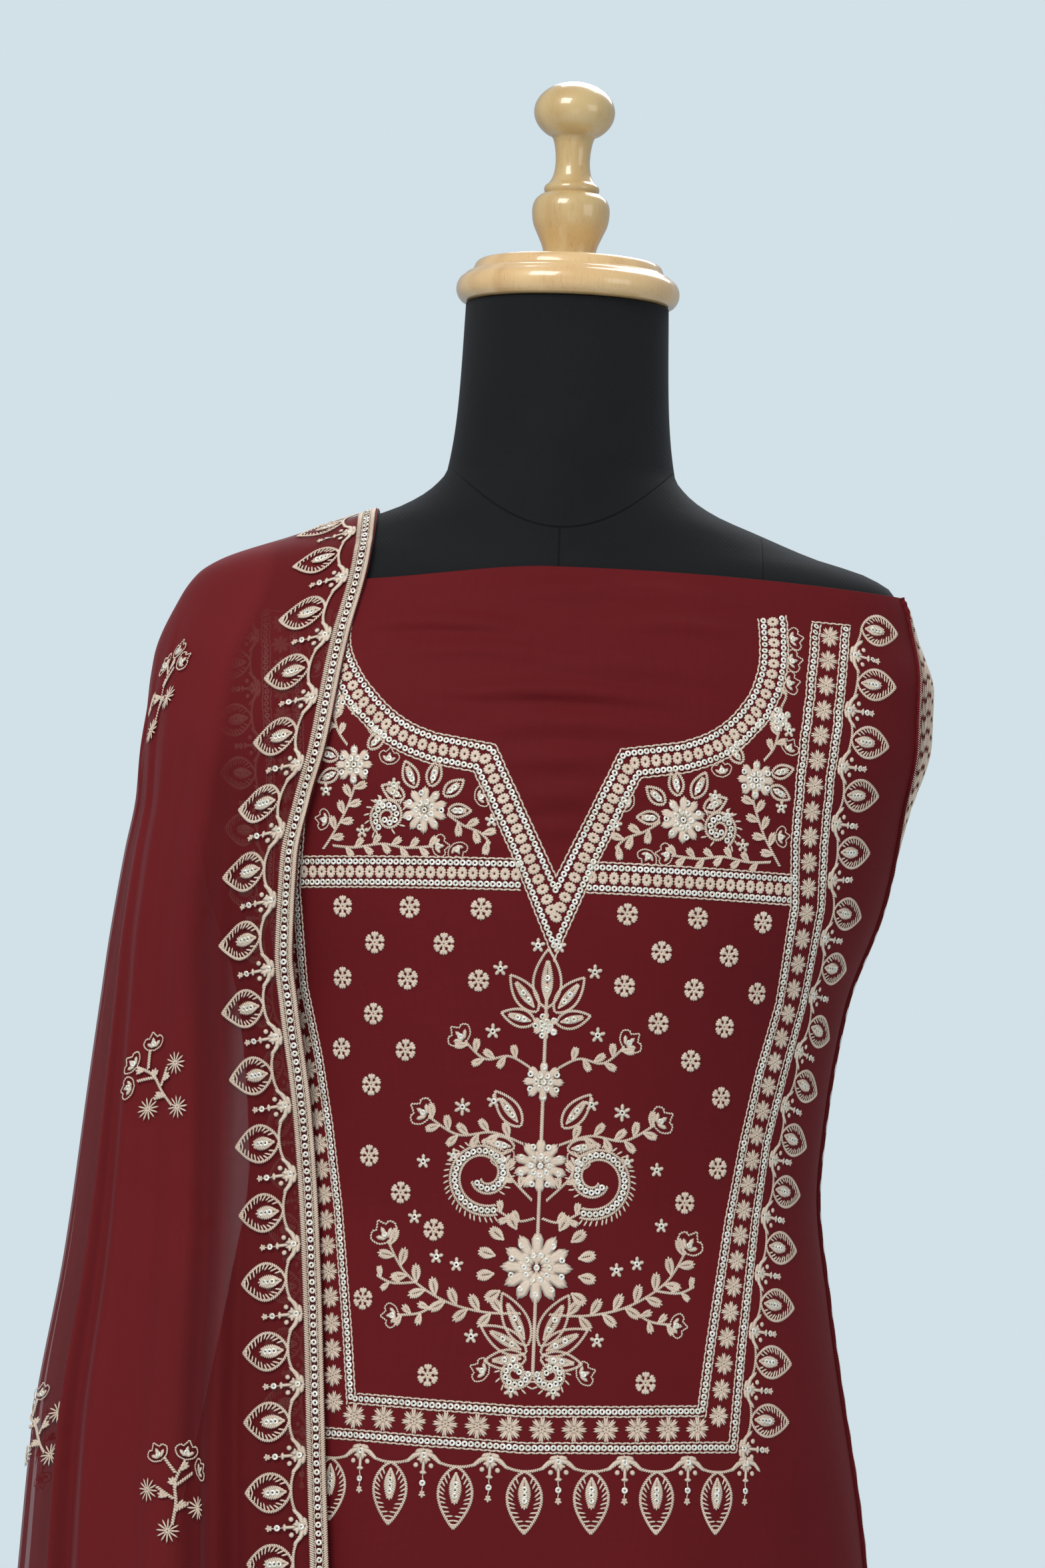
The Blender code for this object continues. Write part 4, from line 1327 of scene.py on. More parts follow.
def stamp(name, tree, places, turns, sizes):
    """A plain mesh of the tree's shape on every place."""
    mesh = bpy.data.meshes.new(name + "_points")
    mesh.from_pydata(places.tolist(), [], [])
    for label, values_of in (("turn", turns), ("size", sizes)):
        attribute = mesh.attributes.new(label, "FLOAT_VECTOR", "POINT")
        attribute.data.foreach_set("vector", np.ascontiguousarray(values_of, dtype=np.float32).ravel())
    source = bpy.data.objects.new(name, mesh)
    bpy.context.scene.collection.objects.link(source)
    nodes = source.modifiers.new("stamp", "NODES")
    nodes.node_group = tree
    graph = bpy.context.evaluated_depsgraph_get()
    made = bpy.data.meshes.new_from_object(source.evaluated_get(graph))
    source.modifiers.clear()
    source.data = made
    made.name = name
    for label in ("turn", "size"):
        if label in made.attributes:
            made.attributes.remove(made.attributes[label])
    return source


def lay_threads(name, works, chart, slot, lift=LIFT, tree=strand_tree):
    """Lays the stitches of some works on a cloth as one piece."""
    stitches = together(works).stitches
    a, b, wide = stitches[:, 0] * MM, stitches[:, 1] * MM, stitches[:, 2].real * MM
    kept = chart.holds(a) & chart.holds(b)
    a, b, wide = a[kept], b[kept], wide[kept]
    start, stop, normal = chart.point(a), chart.point(b), chart.normal((a + b) / 2)
    along = stop - start
    long = np.linalg.norm(along, axis=1, keepdims=True)
    along = along / long
    side = np.cross(normal, along)
    side = side / np.linalg.norm(side, axis=1, keepdims=True)
    normal = np.cross(along, side)
    thick = np.minimum(wide * 0.62, 0.0009)
    sizes = np.stack((wide, thick, long[:, 0] + 0.0004), axis=1)
    places = (start + stop) / 2 + normal * (lift + 0.25 * thick)[:, None]
    piece = stamp(name, tree, places, euler_of(side, normal, along), sizes)
    seat(piece, slot)
    print(f"{name}: {len(a)} strands, {len(piece.data.polygons)} faces")
    return piece


def lay_sequins(name, works, chart, slot, lift=0.0007):
    """Lays the sequins of some works on a cloth as one piece."""
    at = together(works).sequins * MM
    at = at[chart.holds(at)]
    normal = chart.normal(at)
    across = np.cross(normal, (0.0, 0.0, 1.0))
    across = across / np.maximum(np.linalg.norm(across, axis=1, keepdims=True), 1e-6)
    up = np.cross(normal, across)
    places = chart.point(at) + normal * lift
    piece = stamp(name, sequin_tree, places, euler_of(across, up, normal), np.ones((len(at), 3)))
    seat(piece, slot)
    print(f"{name}: {len(at)} sequins, {len(piece.data.polygons)} faces")
    return piece


# %% [markdown]
# ## The yoke's bands
#
# The neckline is only embroidered on: the cloth above it is whole. Its band is two chain lines, two rows of
# sequins and a row of plump thread rings. A frame of two narrow lines with star flowers between them runs down
# each side and across, and two bars join it to the V. The paths were measured in the picture, so `spot` asks the
# chart where on the cloth the camera sees each of them.

# %% Paths of the neckline and the frame


def spot(x, z):
    return kameez_chart.seen(x, z) / MM


def seen_path(points, step=0.006):
    """A path through picture points, on the cloth."""
    out = []
    for (x1, z1), (x2, z2) in zip(points, points[1:]):
        count = max(1, round(math.hypot(x2 - x1, z2 - z1) / step))
        out += [(mix(x1, x2, i / count), mix(z1, z2, i / count)) for i in range(count)]
    return np.array([spot(*p) for p in [*out, points[-1]]])


NECK_CURVE = [
    (0.1180, 1.354), (0.1195, 1.341), (0.1185, 1.326), (0.1123, 1.310), (0.1005, 1.2950), (0.0865, 1.2845),
    (0.0714, 1.2785), (0.0367, 1.2727),
]
NECK_NOTCH = (0.0058, 1.1968)
FRAME_INNER = [
    (0.1522, 1.354), (0.1503, 1.317), (0.1465, 1.269), (0.1444, 1.2246), (0.1454, 1.188), (0.1385, 1.131),
    (0.1285, 1.090), (0.1210, 1.050), (0.1140, 1.003), (0.1060, 0.931), (0.1022, 0.890),
]
FRAME_OUTER = [
    (0.1694, 1.354), (0.1669, 1.299), (0.1632, 1.262), (0.1611, 1.2253), (0.1608, 1.1885), (0.1520, 1.131),
    (0.1425, 1.090), (0.1340, 1.050), (0.1290, 1.003), (0.1240, 0.931), (0.1210, 0.870),
]


def mirrored(points):
    return [(-x, z) for x, z in points]


def framed(side, foot):
    """A frame's line: down the left side, along the foot, and up the right side."""
    return mirrored(side) + mirrored(foot) + foot[-2::-1] + side[::-1]


right_curve = through(NECK_CURVE[:-1], 4)
right_curve = [tuple(p) for p in right_curve] + [NECK_CURVE[-1]]
neck_points = mirrored(right_curve) + [NECK_NOTCH] + right_curve[::-1]
neck_points = [(x + 0.0042 * float(ease((1.345 - z) / 0.06)) * (z != NECK_NOTCH[1]), z) for x, z in neck_points]
neck_path = seen_path(neck_points, 0.012)
inner_path = seen_path(framed(FRAME_INNER, [(0.0550, 0.8868), (0.0, 0.8845)]), 0.012)
outer_path = seen_path(framed(FRAME_OUTER, [(0.0600, 0.8658), (0.0, 0.8634)]), 0.012)
for label, path in (("neckline", neck_path), ("outer frame line", outer_path)):
    print(label, round(float(np.abs(np.diff(path)).sum())), "mm")


def deepened(line, drop, reach=55.0):
    """A line with its lowest corner drawn further down."""
    return line - 1j * drop * np.clip(1 - np.abs(line - line[np.argmin(line.imag)]) / reach, 0, 1)


def ring_band(path, side=-1.0, drop=0.0):
    """Chain, sequins, thread rings, sequins, chain: 17 mm from the first line to the last, and more at a corner's tip."""
    lines = {d: deepened(offset(path, side * d), drop * d / 17.0) for d in (0.0, 2.8, 8.5, 14.2, 17.0)}
    places, ways = evenly(lines[8.5], 6.1, ends=False)
    rings = together(ring(2.9, 3.7).placed(p, w) for p, w in zip(places, ways))
    rows = sequin_row(lines[2.8]) + sequin_row(lines[14.2])
    return chain(lines[0.0]) + chain(lines[17.0]) + rings + rows


def narrow_line(path):
    """A row of sequins between two chain lines."""
    return chain(offset(path, 2.7)) + chain(offset(path, -2.7)) + sequin_row(path)


bars = []
for side in (-1, 1):
    ends = [(side * 0.0190 + 0.0045, 1.2063), (side * 0.1440, 1.2063)]
    bars.append(ring_band(seen_path(ends, 0.012), side * -1.0))
top_line = [chain(seen_path([(side * 0.1494, 1.3548), (side * 0.1722, 1.3548)])) for side in (-1, 1)]
neck_band = ring_band(neck_path, drop=7.0)
bands = [neck_band, narrow_line(inner_path), narrow_line(outer_path), *bars, *top_line]

# %% [markdown]
# ## Star flowers, leaves and crowns
#
# Between the two lines of the frame stands one star flower every 14 mm. Outside it, corded leaves point away from
# the frame, with little crowns between them, all on a scalloped vine. Leaves of this kind are a common border, so
# they keep the real spacing. One function makes such a border along any path, and the dupatta uses it again.

# %% The borders


def leaf_border(path, pitch, leaf_work, crown_work, foot, base, side=-1j, first=0):
    """Leaves on a path's outer side, crowns half way between them, and the vine that joins them."""
    places, ways = evenly(path, pitch, ends=False)
    outward = ways * side
    works = [leaf_work.placed(p + n * foot, -1j * n) for p, n in zip(places, outward)]
    stops, stop_ways = evenly(path, pitch)
    works += [crown_work.placed(p + w * side * base, -1j * w * side) for p, w in zip(stops[first:], stop_ways[first:])]
    t = np.linspace(0, 1, 12)
    for i, (p, n) in enumerate(zip(places, outward)):
        for q, w in zip(stops[max(i, first) : i + 2], stop_ways[max(i, first) : i + 2]):
            arch = mix(p, q, t) + mix(n, w * side, t) * mix(foot, base, t**2.4)
            works.append(rope(arch))
    return works


star_works = []
for start, stop in ((mirrored(FRAME_INNER), mirrored(FRAME_OUTER)), (FRAME_INNER, FRAME_OUTER)):
    middle = [((a[0] + b[0]) / 2, (a[1] + b[1]) / 2) for a, b in zip(start, stop)]
    places, _ = evenly(seen_path(middle, 0.012), 14.2, ends=False)
    star_works += [star.placed(p, turned_by(5 * (i % 3 - 1))) for i, p in enumerate(places)]
foot_middle = [(-0.100, 0.8795), (-0.055, 0.8763), (0.0, 0.8740), (0.055, 0.8763), (0.100, 0.8795)]
places, _ = evenly(seen_path(foot_middle, 0.012), 17.7)
star_works += [foot_star.placed(p, turned_by(3 * (i % 3 - 1))) for i, p in enumerate(places)]

side_crown, foot_crown = crown(6.0), crown(11.0)
leaf_works = []
for points, side in ((mirrored(FRAME_OUTER), -1j), (FRAME_OUTER, 1j)):
    path = offset(seen_path([(points[0][0], 1.3705), *points], 0.012), 3.2 * (-1 if side == -1j else 1))
    leaf_works += leaf_border(path, 32.3, leaf, side_crown, 7.5, 1.0, side, 1)
foot_line = seen_path([(-0.1290, 0.8660), (-0.060, 0.8624), (0.0, 0.8600), (0.060, 0.8624), (0.1290, 0.8660)], 0.012)
leaf_works += leaf_border(foot_line, 38.8, tall_leaf, foot_crown, 9.5, 1.0, -1j)

# %% [markdown]
# ## Scattered flowers and the sprays
#
# Inside the frame, heart-petalled flowers are scattered in staggered rows. The tall spray in the middle and the
# two in the corners are this part's own: a stem with rosettes, curls, almond leaves and small florets, drawn with
# the same stitches and at the same density as such suits have, in a layout of its own.

# %% Sprays and flowers


def branch(points, leaf_pitch=6.5, leaf_long=8.0, lean=48, end=None):
    """A corded stem through some places, leaves on both sides by turns, and something at its end."""
    path = np.array([complex(*p) for p in through(points, 8)])
    works = [rope(path)]
    places, ways = evenly(path, leaf_pitch, ends=False)
    for i, (p, w) in enumerate(zip(places, ways)):
        if i:
            works.append(small_leaf(leaf_long, leaf_long * 0.46).placed(p, -1j * w * turned_by(lean if i % 2 else -lean)))
    if end:
        works.append(end.placed(path[-1], -1j * (path[-1] - path[-2]) / abs(path[-1] - path[-2])))
    return together(works)


def almond(long, wide):
    """A corded almond round a filled leaf, with sequins on it."""
    side = leaf_outline(long, wide, 14)
    inner = small_leaf(long * 0.72, wide * 0.42, 1.2).placed(1j * long * 0.1)
    return rope(side) + rope(-side.conj(), slant=-50) + inner + Work((), [1j * long * s for s in (0.32, 0.52)])


def set_at(work, x, y, degrees=0.0, size=1.0):
    """A work moved to (x, y), turned and sized."""
    return work.placed(complex(x, y), size * turned_by(degrees))


def centre_spray():
    """An upright spray, about 250 mm tall, with its foot at the origin."""
    stem = rope([6j, 228j], 1.3, 2.6, 1.5)
    rosettes = [(66, 21.0, 12), (124, 16.0, 10), (172, 12.0, 8), (204, 8.0, 6)]
    middle = [stem, *(rosette(r, n).placed(1j * y) for y, r, n in rosettes), almond(34.0, 16.0).placed(214j)]
    foot = curl(8.0, 1.1, 170, 4.4).placed(complex(2.5, 8))
    foot = foot + set_at(outlined_bud(), 26, 6, -70) + set_at(floret(6, 4.6), 12, -3)
    fan_leaves = ((33.0, 14.0, 3.5, 22, -28), (30.0, 13.0, 4, 18, -62), (24.0, 11.0, 4, 15, -96))
    fan = [set_at(almond(long, wide), x, y, turn) for long, wide, x, y, turn in fan_leaves]
    halo = [small_leaf(11.0, 6.4, 1.5).placed(66j + 24.0 * turned_by(a), turned_by(a - 90)) for a in (-34, -10, 14, 38, 60)]
    low = branch([(8, 40), (30, 40), (54, 46), (76, 60), (88, 78)], 6.6, 11.5, 50, outlined_bud(1.25))
    twig = branch([(54, 46), (66, 38), (80, 36)], 6.0, 8.0, 50, outlined_bud())
    twig = twig + branch([(70, 55), (84, 54), (94, 58)], 6, 7, 50)
    scroll = curl(21.0, 1.22, -112).placed(complex(24, 98)) + branch([(2, 94), (12, 92), (24, 98)], 5.5, 7.5, 50)
    arm = branch([(4, 104), (16, 116), (20, 124)], 6.0, 8.0, 52, outlined_bud())
    upper = branch([(10, 136), (28, 142), (48, 140), (66, 150)], 6.2, 9.5, 50, outlined_bud(1.2))
    upper = upper + set_at(floret(6, 5.2), 46, 156)
    wing = [set_at(almond(25.0, 11.5), 12, 146, -38), set_at(almond(19.0, 9.5), 15, 134, -82)]
    top = branch([(8, 180), (20, 186), (34, 184), (46, 194)], 6.0, 8.5, 50, outlined_bud(1.1))
    top = top + set_at(floret(5, 4.6), 30, 200)
    crest = [set_at(almond(26.0, 12.0), 5, 212, -38), set_at(almond(20.0, 10.0), 6, 206, -76)]
    crest += [set_at(floret(5, 4.4), 27, 236)]
    loose_places = ((36, 26), (46, 66), (58, 70), (68, 124), (50, 128), (28, 160), (72, 92), (6, 250))
    loose = [set_at(floret(5, 4.2), x, y) for x, y in loose_places]
    half = together([foot, *fan, *halo, low, twig, scroll, arm, upper, *wing, top, *crest, *loose])
    return together(middle) + pair(half)


def corner_spray():
    """The spray between the V and the frame, for its right side; the origin is 98 mm from the centre."""
    works = [set_at(rosette(13.5, 10), -20, -8), set_at(rosette(11.5, 8), 22, 17), set_at(rosette(7.5, 6), 35, 52)]
    for centre, reach, share, leaves in (
        (complex(-20, -8), 13.5, 0.55, ((28, 15), (66, 16), (104, 15), (142, 14), (180, 13))),
        (complex(21, 18), 11.0, 7.5 / 14, ((-24, 14), (16, 14), (134, 14))),
    ):
        works += [almond(n, share * n).placed(centre + reach * turned_by(a), turned_by(a - 90)) for a, n in leaves]
    works.append(branch([(40, -30), (33, -20), (26, -8), (21, 6)], 5.4, 9.0, 50))
    works.append(branch([(34, -28), (20, -29), (4, -27), (-10, -29), (-26, -28)], 5.6, 7.5, 46, outlined_bud(0.9)))
    works.append(curl(8.5, 1.15, -60).placed(complex(5, -19)))
    works.append(branch([(-33, -10), (-42, -16), (-52, -20), (-58, -26)], 5.4, 8.5, 50))
    works.append(branch([(26, 28), (32, 36), (35, 45)], 5.0, 7.5, 50))
    works.append(branch([(36, 59), (38, 64), (38, 69)], 4.6, 6.0, 50))
    buds = ((37, -14, -80), (-49, -1, 70), (2, 18, 10), (11, 34, 30), (40, 34, -30), (-38, -27, 150))
    works += [set_at(outlined_bud(0.85), x, y, a) for x, y, a in buds]
    florets = ((39, 3), (6, -4), (41, 46), (22, 48), (-58, -13), (-2, 6), (16, -20))
    works += [set_at(floret(5, 3.8), x, y) for x, y in florets]
    return together(works)


SPRAY_FOOT = spot(0.003, 0.9000)
SHOULDER_BUDS = ((0.1362, 1.3430), (0.1360, 1.3300), (0.1350, 1.3170))
spray = centre_spray().placed(SPRAY_FOOT, 0.97)
corner = corner_spray()
corners = [corner.placed(spot(0.0985, 1.2420)), corner.placed(spot(-0.0925, 1.2420), 1, mirror=True)]


def in_polygon(place, outline):
    x, y = place.real, place.imag
    hit = False
    for a, b in zip(outline, np.roll(outline, -1)):
        if (a.imag > y) != (b.imag > y) and x < a.real + (y - a.imag) * (b.real - a.real) / (b.imag - a.imag):
            hit = not hit
    return hit


def clear_of(place, work, reach):
    points = np.concatenate((work.stitches[:, 0], work.stitches[:, 1]))
    return np.abs(points - place).min() > reach


frame_inside = offset(inner_path, 9.5)
scatter = [
    outlined_bud(0.95).placed(spot(side * x, z), turned_by(-78 * side)) for side in (-1, 1) for x, z in SHOULDER_BUDS
]
SCATTER_TOP, SCATTER_ROWS, ROW_DROP, COLUMN_STEP, COLUMN_SHIFT = 1179.0, 14, 19.9, 40.6, 4.5
SPRAY_ROOM, NECK_ROOM = 9.5, 9.0
for row in range(SCATTER_ROWS):
    for column in range(-4, 5):
        across = COLUMN_STEP * (column + (0.5 if row % 2 else 0.0)) + COLUMN_SHIFT
        place = complex(across, SCATTER_TOP - ROW_DROP * row)
        clear = clear_of(place, spray, SPRAY_ROOM) and clear_of(place, neck_band, NECK_ROOM)
        if in_polygon(place, frame_inside) and clear:
            scatter.append(buti.placed(place))
print("scattered flowers", len(scatter), "spray strands", len(spray.stitches))

band_piece = lay_threads("yoke_band_threads", bands, kameez_chart, "kameez_cloth")
border_piece = lay_threads("yoke_border_threads", [*star_works, *leaf_works], kameez_chart, "kameez_cloth")
spray_piece = lay_threads("yoke_spray_threads", [*scatter, spray, *corners], kameez_chart, "kameez_cloth")
yoke_sequins = lay_sequins("yoke_sequins", [*bands, *leaf_works, *scatter, spray, *corners], kameez_chart, "kameez_cloth")

# %% [markdown]
# ## The side strips and the rolled edge
#
# A densely worked strip is sewn in at each side, and the front panel's edge is rolled over it and overlocked. The
# strip is satin strands in columns. The rolled edge is a thin tube along the panel's edge, with short strands
# across it.

# %% Satin on the strips
SATIN_PITCH, SATIN_LONG, SATIN_WIDE, SATIN_FOOT = 10.4, 9.4, 1.75, 246.0
strip_works = []
for column in range(3):
    for row in range(int((TOP_EDGE - KAMEEZ_HEM - 0.012) / MM / SATIN_PITCH)):
        for strand in range(4):
            up = SATIN_FOOT + SATIN_PITCH * row + 3.4 * (column % 2) + 0.5 * (strand % 2)
            foot = complex(2.6 + 8.6 * column + 2.1 * strand, up)
            strip_works.append((foot, foot + SATIN_LONG * 1j + 0.5 * (strand - 1.5), SATIN_WIDE))
strip_satin = Work(strip_works)
strip_edges = chain([1.2 + 242j, 1.2 + 1362j]) + chain([26.6 + 242j, 26.6 + 1362j])
for word, side in (("right", 1), ("left", -1)):
    strip_grid = side_strip(24, 420, side, CLOTH)
    zero = 0 if side > 0 else 24
    strip_chart = Chart(strip_grid, zero, strip_grid[:, zero, 2], from_axis)
    works = [work.placed(mirror=side < 0) for work in (strip_satin, strip_edges)]
    lay_threads(f"strip_satin_{word}", works, strip_chart, "kameez_cloth")

# %% The rolled edge of the front panel
ROLL = 0.0017
for word, column in (("right", -1), ("left", 0)):
    line = front_grid[:, column]
    inward = front_grid[:, column - 6 if column else 6] - line
    inward = inward / np.linalg.norm(inward, axis=1, keepdims=True)
    down = np.gradient(line, axis=0)
    down = down / np.linalg.norm(down, axis=1, keepdims=True)
    out = np.cross(down, inward)
    out = out * np.sign((out * from_axis(line)).sum(axis=1, keepdims=True))
    scallop = 1 + 0.16 * np.sin(np.arange(len(line)) * 0.95)[:, None]
    centre = line + inward * ROLL * 0.6 + out * ROLL * 0.35
    angles = np.linspace(0, 2 * math.pi, 10, endpoint=False)
    tube = [centre + ROLL * scallop * (math.cos(a) * inward + math.sin(a) * out) for a in angles]
    tube = np.stack(tube if column == 0 else tube[::-1], axis=1)
    roll = grid_piece(f"kameez_rolled_edge_{word}", tube, kameez_cloth, closed=True)
    bm = bmesh.new()
    bm.from_mesh(roll.data)
    bmesh.ops.holes_fill(bm, edges=[e for e in bm.edges if e.is_boundary])
    bmesh.ops.recalc_face_normals(bm, faces=bm.faces)
    bm.to_mesh(roll.data)
    bm.free()
    seat(roll, "kameez_cloth")
ups = np.linspace(0.244, 1.360, 400)
overlock = []
for side, edge in ((1, kameez_chart.high), (-1, kameez_chart.low)):
    along = np.interp(ups, kameez_chart.ups, edge)
    path = (along - side * 0.0021) / MM + 1j * ups / MM
    overlock.append(ladder(path, 1.25, 3.0, 0.62, 62))
overlock_piece = lay_threads("edge_overlock", overlock, kameez_chart, "kameez_cloth", ROLL * 1.32)

# %% [markdown]
# ## Plain hems
#
# The panels are turned up at the hem and the cuffs are turned in, and both are held by a row of plain running
# stitches in red thread. Each row is short strands along a line, on a chart of its own sheet.

# %% Running stitches in red thread
HEM_TURN, CUFF_TURN = 14.0, 3.5


def running(path, pitch=3.6, long=2.3, wide=0.45):
    """A row of short strands along a path."""
    places, ways = evenly(path, pitch, ends=False)
    return Work(np.stack((places - ways * long / 2, places + ways * long / 2, np.full(len(places), wide)), axis=1))


def across_chart(chart, height):
    """A level line over the whole width of a chart, at a height in millimetres."""
    low, high = (np.interp(height * MM, chart.ups, edge) / MM for edge in (chart.low, chart.high))
    return [complex(low + 4.0, height), complex(high - 4.0, height)]


back_grid = back_panel(240, 300, CLOTH)
back_chart = Chart(back_grid, 120, back_grid[:, 120, 2], from_axis)
hem_height = KAMEEZ_HEM / MM + HEM_TURN
front_line, back_line = (running(across_chart(chart, hem_height)) for chart in (kameez_chart, back_chart))
front_hem = lay_threads("kameez_front_hem", [front_line], kameez_chart, "kameez_cloth", tree=red_strand_tree)
back_hem = lay_threads("kameez_back_hem", [back_line], back_chart, "kameez_cloth", tree=red_strand_tree)
for word, side in (("right", 1), ("left", -1)):
    cuff_grid = cuff_points(side, CLOTH)
    cuff_grid = np.concatenate((cuff_grid, cuff_grid[:, :1]), axis=1)
    middle = np.array((side * leg_centre(CUFF_TOP), 0.0, 0.0))
    cuff_chart = Chart(cuff_grid, 0, cuff_grid[:, 0, 2], lambda points: (points - middle) * (1, 1, 0))
    rows = [running(across_chart(cuff_chart, z)) for z in (CUFF_TOP / MM - CUFF_TURN, CUFF_FOOT / MM + CUFF_TURN)]
    lay_threads(f"salwar_cuff_stitches_{word}", rows, cuff_chart, "salwar_cloth", tree=red_strand_tree)

# %% [markdown]
# ## The dupatta's border and sprigs
#
# The border runs the whole length of one edge: an overlocked band, a row of sequins, a second band, and then the
# same corded leaves and crowns as on the yoke, a little larger. Small sprigs with three star flowers are
# scattered over the rest. The chart here measures upwards along the border edge itself.

# %% The dupatta's chart, border and sprigs


def from_shoulder(points):
    height = np.minimum(points[..., 2], 1.29)
    centre = np.stack((np.full(height.shape, -0.10), np.zeros(height.shape), height), axis=-1)
    return points - centre


sheer_grid = whole_dupatta(240, 260, 220, SHEER)
edge_length = arc_lengths(sheer_grid, 0)[:, 0]
dupatta_chart = Chart(sheer_grid, 0, edge_length, from_shoulder)
EDGE = float(edge_length[-1]) / MM
EDGE_MARGIN = 3.0
edge_line = [complex(0, EDGE_MARGIN), complex(0, EDGE - EDGE_MARGIN)]
edge_bands = [
    ladder(offset(edge_line, -1.5), 1.25, 3.3, 1.15, 60),
    ladder(offset(edge_line, -9.2), 1.25, 3.6, 1.15, 120),
    sequin_row(offset(edge_line, -5.3), 4.8),
    chain(offset(edge_line, -3.3), 2.1, 0.8),
    chain(offset(edge_line, -7.3), 2.1, 0.8),
]


def dupatta_spot(x, z):
    """The place on the front fall that the camera sees at (x, z) of the plane y = 0."""
    points, facing = dupatta_chart.points, dupatta_chart.normals[..., 1] < -0.15
    nearness = 1 + points[..., 1] / -EYE.y
    miss = np.hypot(EYE.x + (points[..., 0] - EYE.x) / nearness - x, EYE.z + (points[..., 2] - EYE.z) / nearness - z)
    row, column = np.unravel_index(np.argmin(np.where(facing, miss, 9.0)), miss.shape)
    return complex(dupatta_chart.stations[column], dupatta_chart.ups[row]) / MM


PIXELS_PER_METRE = 2570


def picture(px, py):
    """A point of the 1568 x 2353 picture as (x, z) of the plane y = 0."""
    way = complex(px - 1568 / 2, 2353 / 2 - py) / PIXELS_PER_METRE * turned_by(math.degrees(LEAN))
    return AIM.x + way.real, AIM.z + way.imag


dupatta_leaf = edged_leaf(27.5, 21.0, 10)
LEAF_PITCH = 39.3
seen_leaf = dupatta_spot(*picture(395, 1608)).imag
start = (seen_leaf - LEAF_PITCH / 2 - EDGE_MARGIN) % LEAF_PITCH + EDGE_MARGIN
leaf_line = [complex(0, start), complex(0, start + (EDGE - EDGE_MARGIN - start) // LEAF_PITCH * LEAF_PITCH)]
dupatta_works = leaf_border(offset(leaf_line, -10.8), LEAF_PITCH, dupatta_leaf, crown(8.0), 9.0, 0.5, -1j)


def sprig():
    """Three star flowers and two florets on a forked stem."""
    flower = spokes(12, 0.8, 5.8, 0.95) + ring(1.6, 1.6, 6, 1.3)
    stem = rope([complex(*p) for p in through([(0, -16), (1, -6), (0, 4), (4, 14)], 8)])
    twigs = [rope([a, b]) for a, b in ((-4j, -9 + 1j), (2j, 8 + 8j), (-10j, 7 - 6j), (8j, -6 + 15j))]
    flowers = [flower.placed(p) for p in (-14 - 1j, -19j - 2, 12 - 8j)]
    florets = [outlined_bud(0.8).placed(p, turned_by(a)) for p, a in ((-8 + 14j, 30), (11 + 8j, -50), (4 + 15j, -10))]
    leaf_places = ((1 + 2j, 50), (1 - 8j, -60), (2 + 9j, -40), (-3 - 3j, 80))
    leaves = [small_leaf(5.5, 3.0).placed(p, turned_by(a)) for p, a in leaf_places]
    return together([stem, *twigs, *flowers, *florets, *leaves])


sprig_places = [dupatta_spot(*picture(*p)) for p in ((238, 1622), (262, 2234), (57, 2143), (245, 1037))]
print("sprigs seen", [f"{p:.0f}" for p in sprig_places])
for row in range(24):
    place = complex(118.0 + (115.0 if row % 2 else 0.0), 70.0 + 102.0 * row)
    if place.imag < 480 or place.imag > 1240:
        sprig_places.append(place)
sprigs = [sprig().placed(p, 1.22 * turned_by(37 * i % 60 - 30), mirror=bool(i % 2)) for i, p in enumerate(sprig_places)]

dupatta_stitches = [
    lay_threads(name, works, dupatta_chart, "dupatta_cloth")
    for name, works in (
        ("dupatta_edge_threads", edge_bands),
        ("dupatta_leaf_threads", dupatta_works),
        ("dupatta_sprig_threads", sprigs),
    )
]
all_works = [*edge_bands, *dupatta_works, *sprigs]
dupatta_stitches.append(lay_sequins("dupatta_sequins", all_works, dupatta_chart, "dupatta_cloth"))

# %% [markdown]
# ## Light and backdrop
#
# A studio lit this softly needs only big lights: a wide one above and in front, and weaker ones round it, in a
# pale world. The wall is the world itself: a wall made as a mesh would hide the suit from a camera behind it. A
# Light Path node gives the wall its own tone where it is seen, apart from the light that it sheds.

# %% Floor, lights and world


def pale_paint():
    material, shader, paint = new_material("pale_blue_grey_floor", 0.95)
    place = paint.node("TexCoord", output=3)
    tone = place.noise(1.3, 2.0).tint((0.70, 0.765, 0.80), (0.76, 0.825, 0.86))
    feed(shader, Base_Color=tone)
    return material


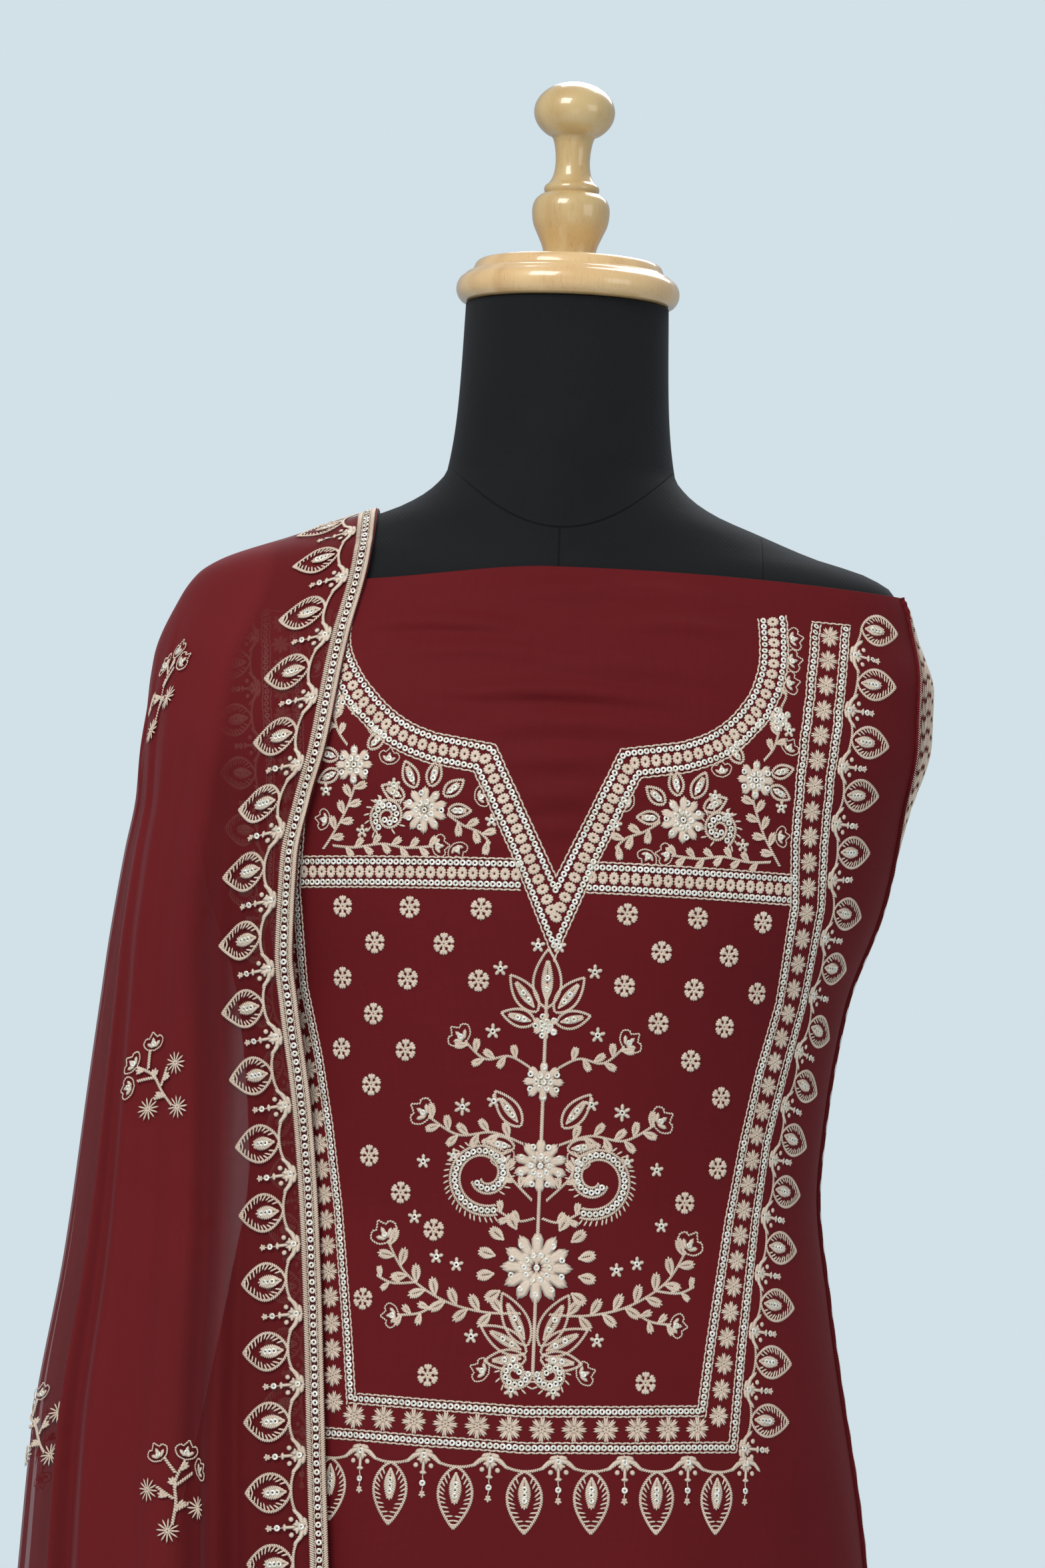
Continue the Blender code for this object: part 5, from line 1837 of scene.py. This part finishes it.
FLOOR_RADIUS = 3.4
floor_mesh = bpy.data.meshes.new("studio_floor")
bm = bmesh.new()
bmesh.ops.create_circle(bm, cap_ends=True, segments=96, radius=FLOOR_RADIUS)
bm.to_mesh(floor_mesh)
bm.free()
floor = bpy.data.objects.new("studio_floor", floor_mesh)
floor.data.materials.append(pale_paint())
bpy.context.scene.collection.objects.link(floor)

for name, place, size, power, colour in (
    ("key_light", (-1.1, -2.0, 3.2), 1.3, 54.0, (1.0, 0.985, 0.97)),
    ("right_light", (2.3, -1.8, 1.9), 1.4, 10.0, (0.97, 0.985, 1.0)),
    ("low_light", (0.1, -2.9, 0.7), 1.6, 4.0, (1.0, 0.99, 0.98)),
    ("back_light", (0.4, 1.5, 3.0), 1.6, 34.0, (0.97, 0.99, 1.0)),
):
    light = bpy.data.lights.new(name, "AREA")
    light.size, light.energy, light.color = size, power, colour
    lamp = bpy.data.objects.new(name, light)
    lamp.location = place
    lamp.rotation_euler = (Vector((0, 0, 1.2)) - Vector(place)).to_track_quat("-Z", "Y").to_euler()
    bpy.context.scene.collection.objects.link(lamp)

world = bpy.data.worlds.new("soft_room")
world.use_nodes = True
room = Wire(world.node_tree)
light = room.node("Background", None, {"Color": (0.80, 0.88, 0.95, 1.0), "Strength": 0.42})
wall = room.node("Background", None, {"Color": (0.645, 0.745, 0.80, 1.0), "Strength": 1.0})
seen = room.node("LightPath", output=0)
both = room.node("MixShader", None, {0: seen, 1: light, 2: wall})
world.node_tree.links.new(both.socket, world.node_tree.nodes["World Output"].inputs["Surface"])
bpy.context.scene.world = world
bpy.context.scene.view_settings.view_transform = "Standard"

# %% [markdown]
# ## Facts about the cloth
#
# Each sheet says what it was cut to. The sizes are worked out from its own grid, so they can't drift from the shape.

for name, (piece, points) in kameez_pieces.items():
    declare_cloth(piece, points)
for piece, points in salwar_pieces:
    declare_cloth(piece, points)
declare_cloth(dupatta_piece, dupatta_grid)
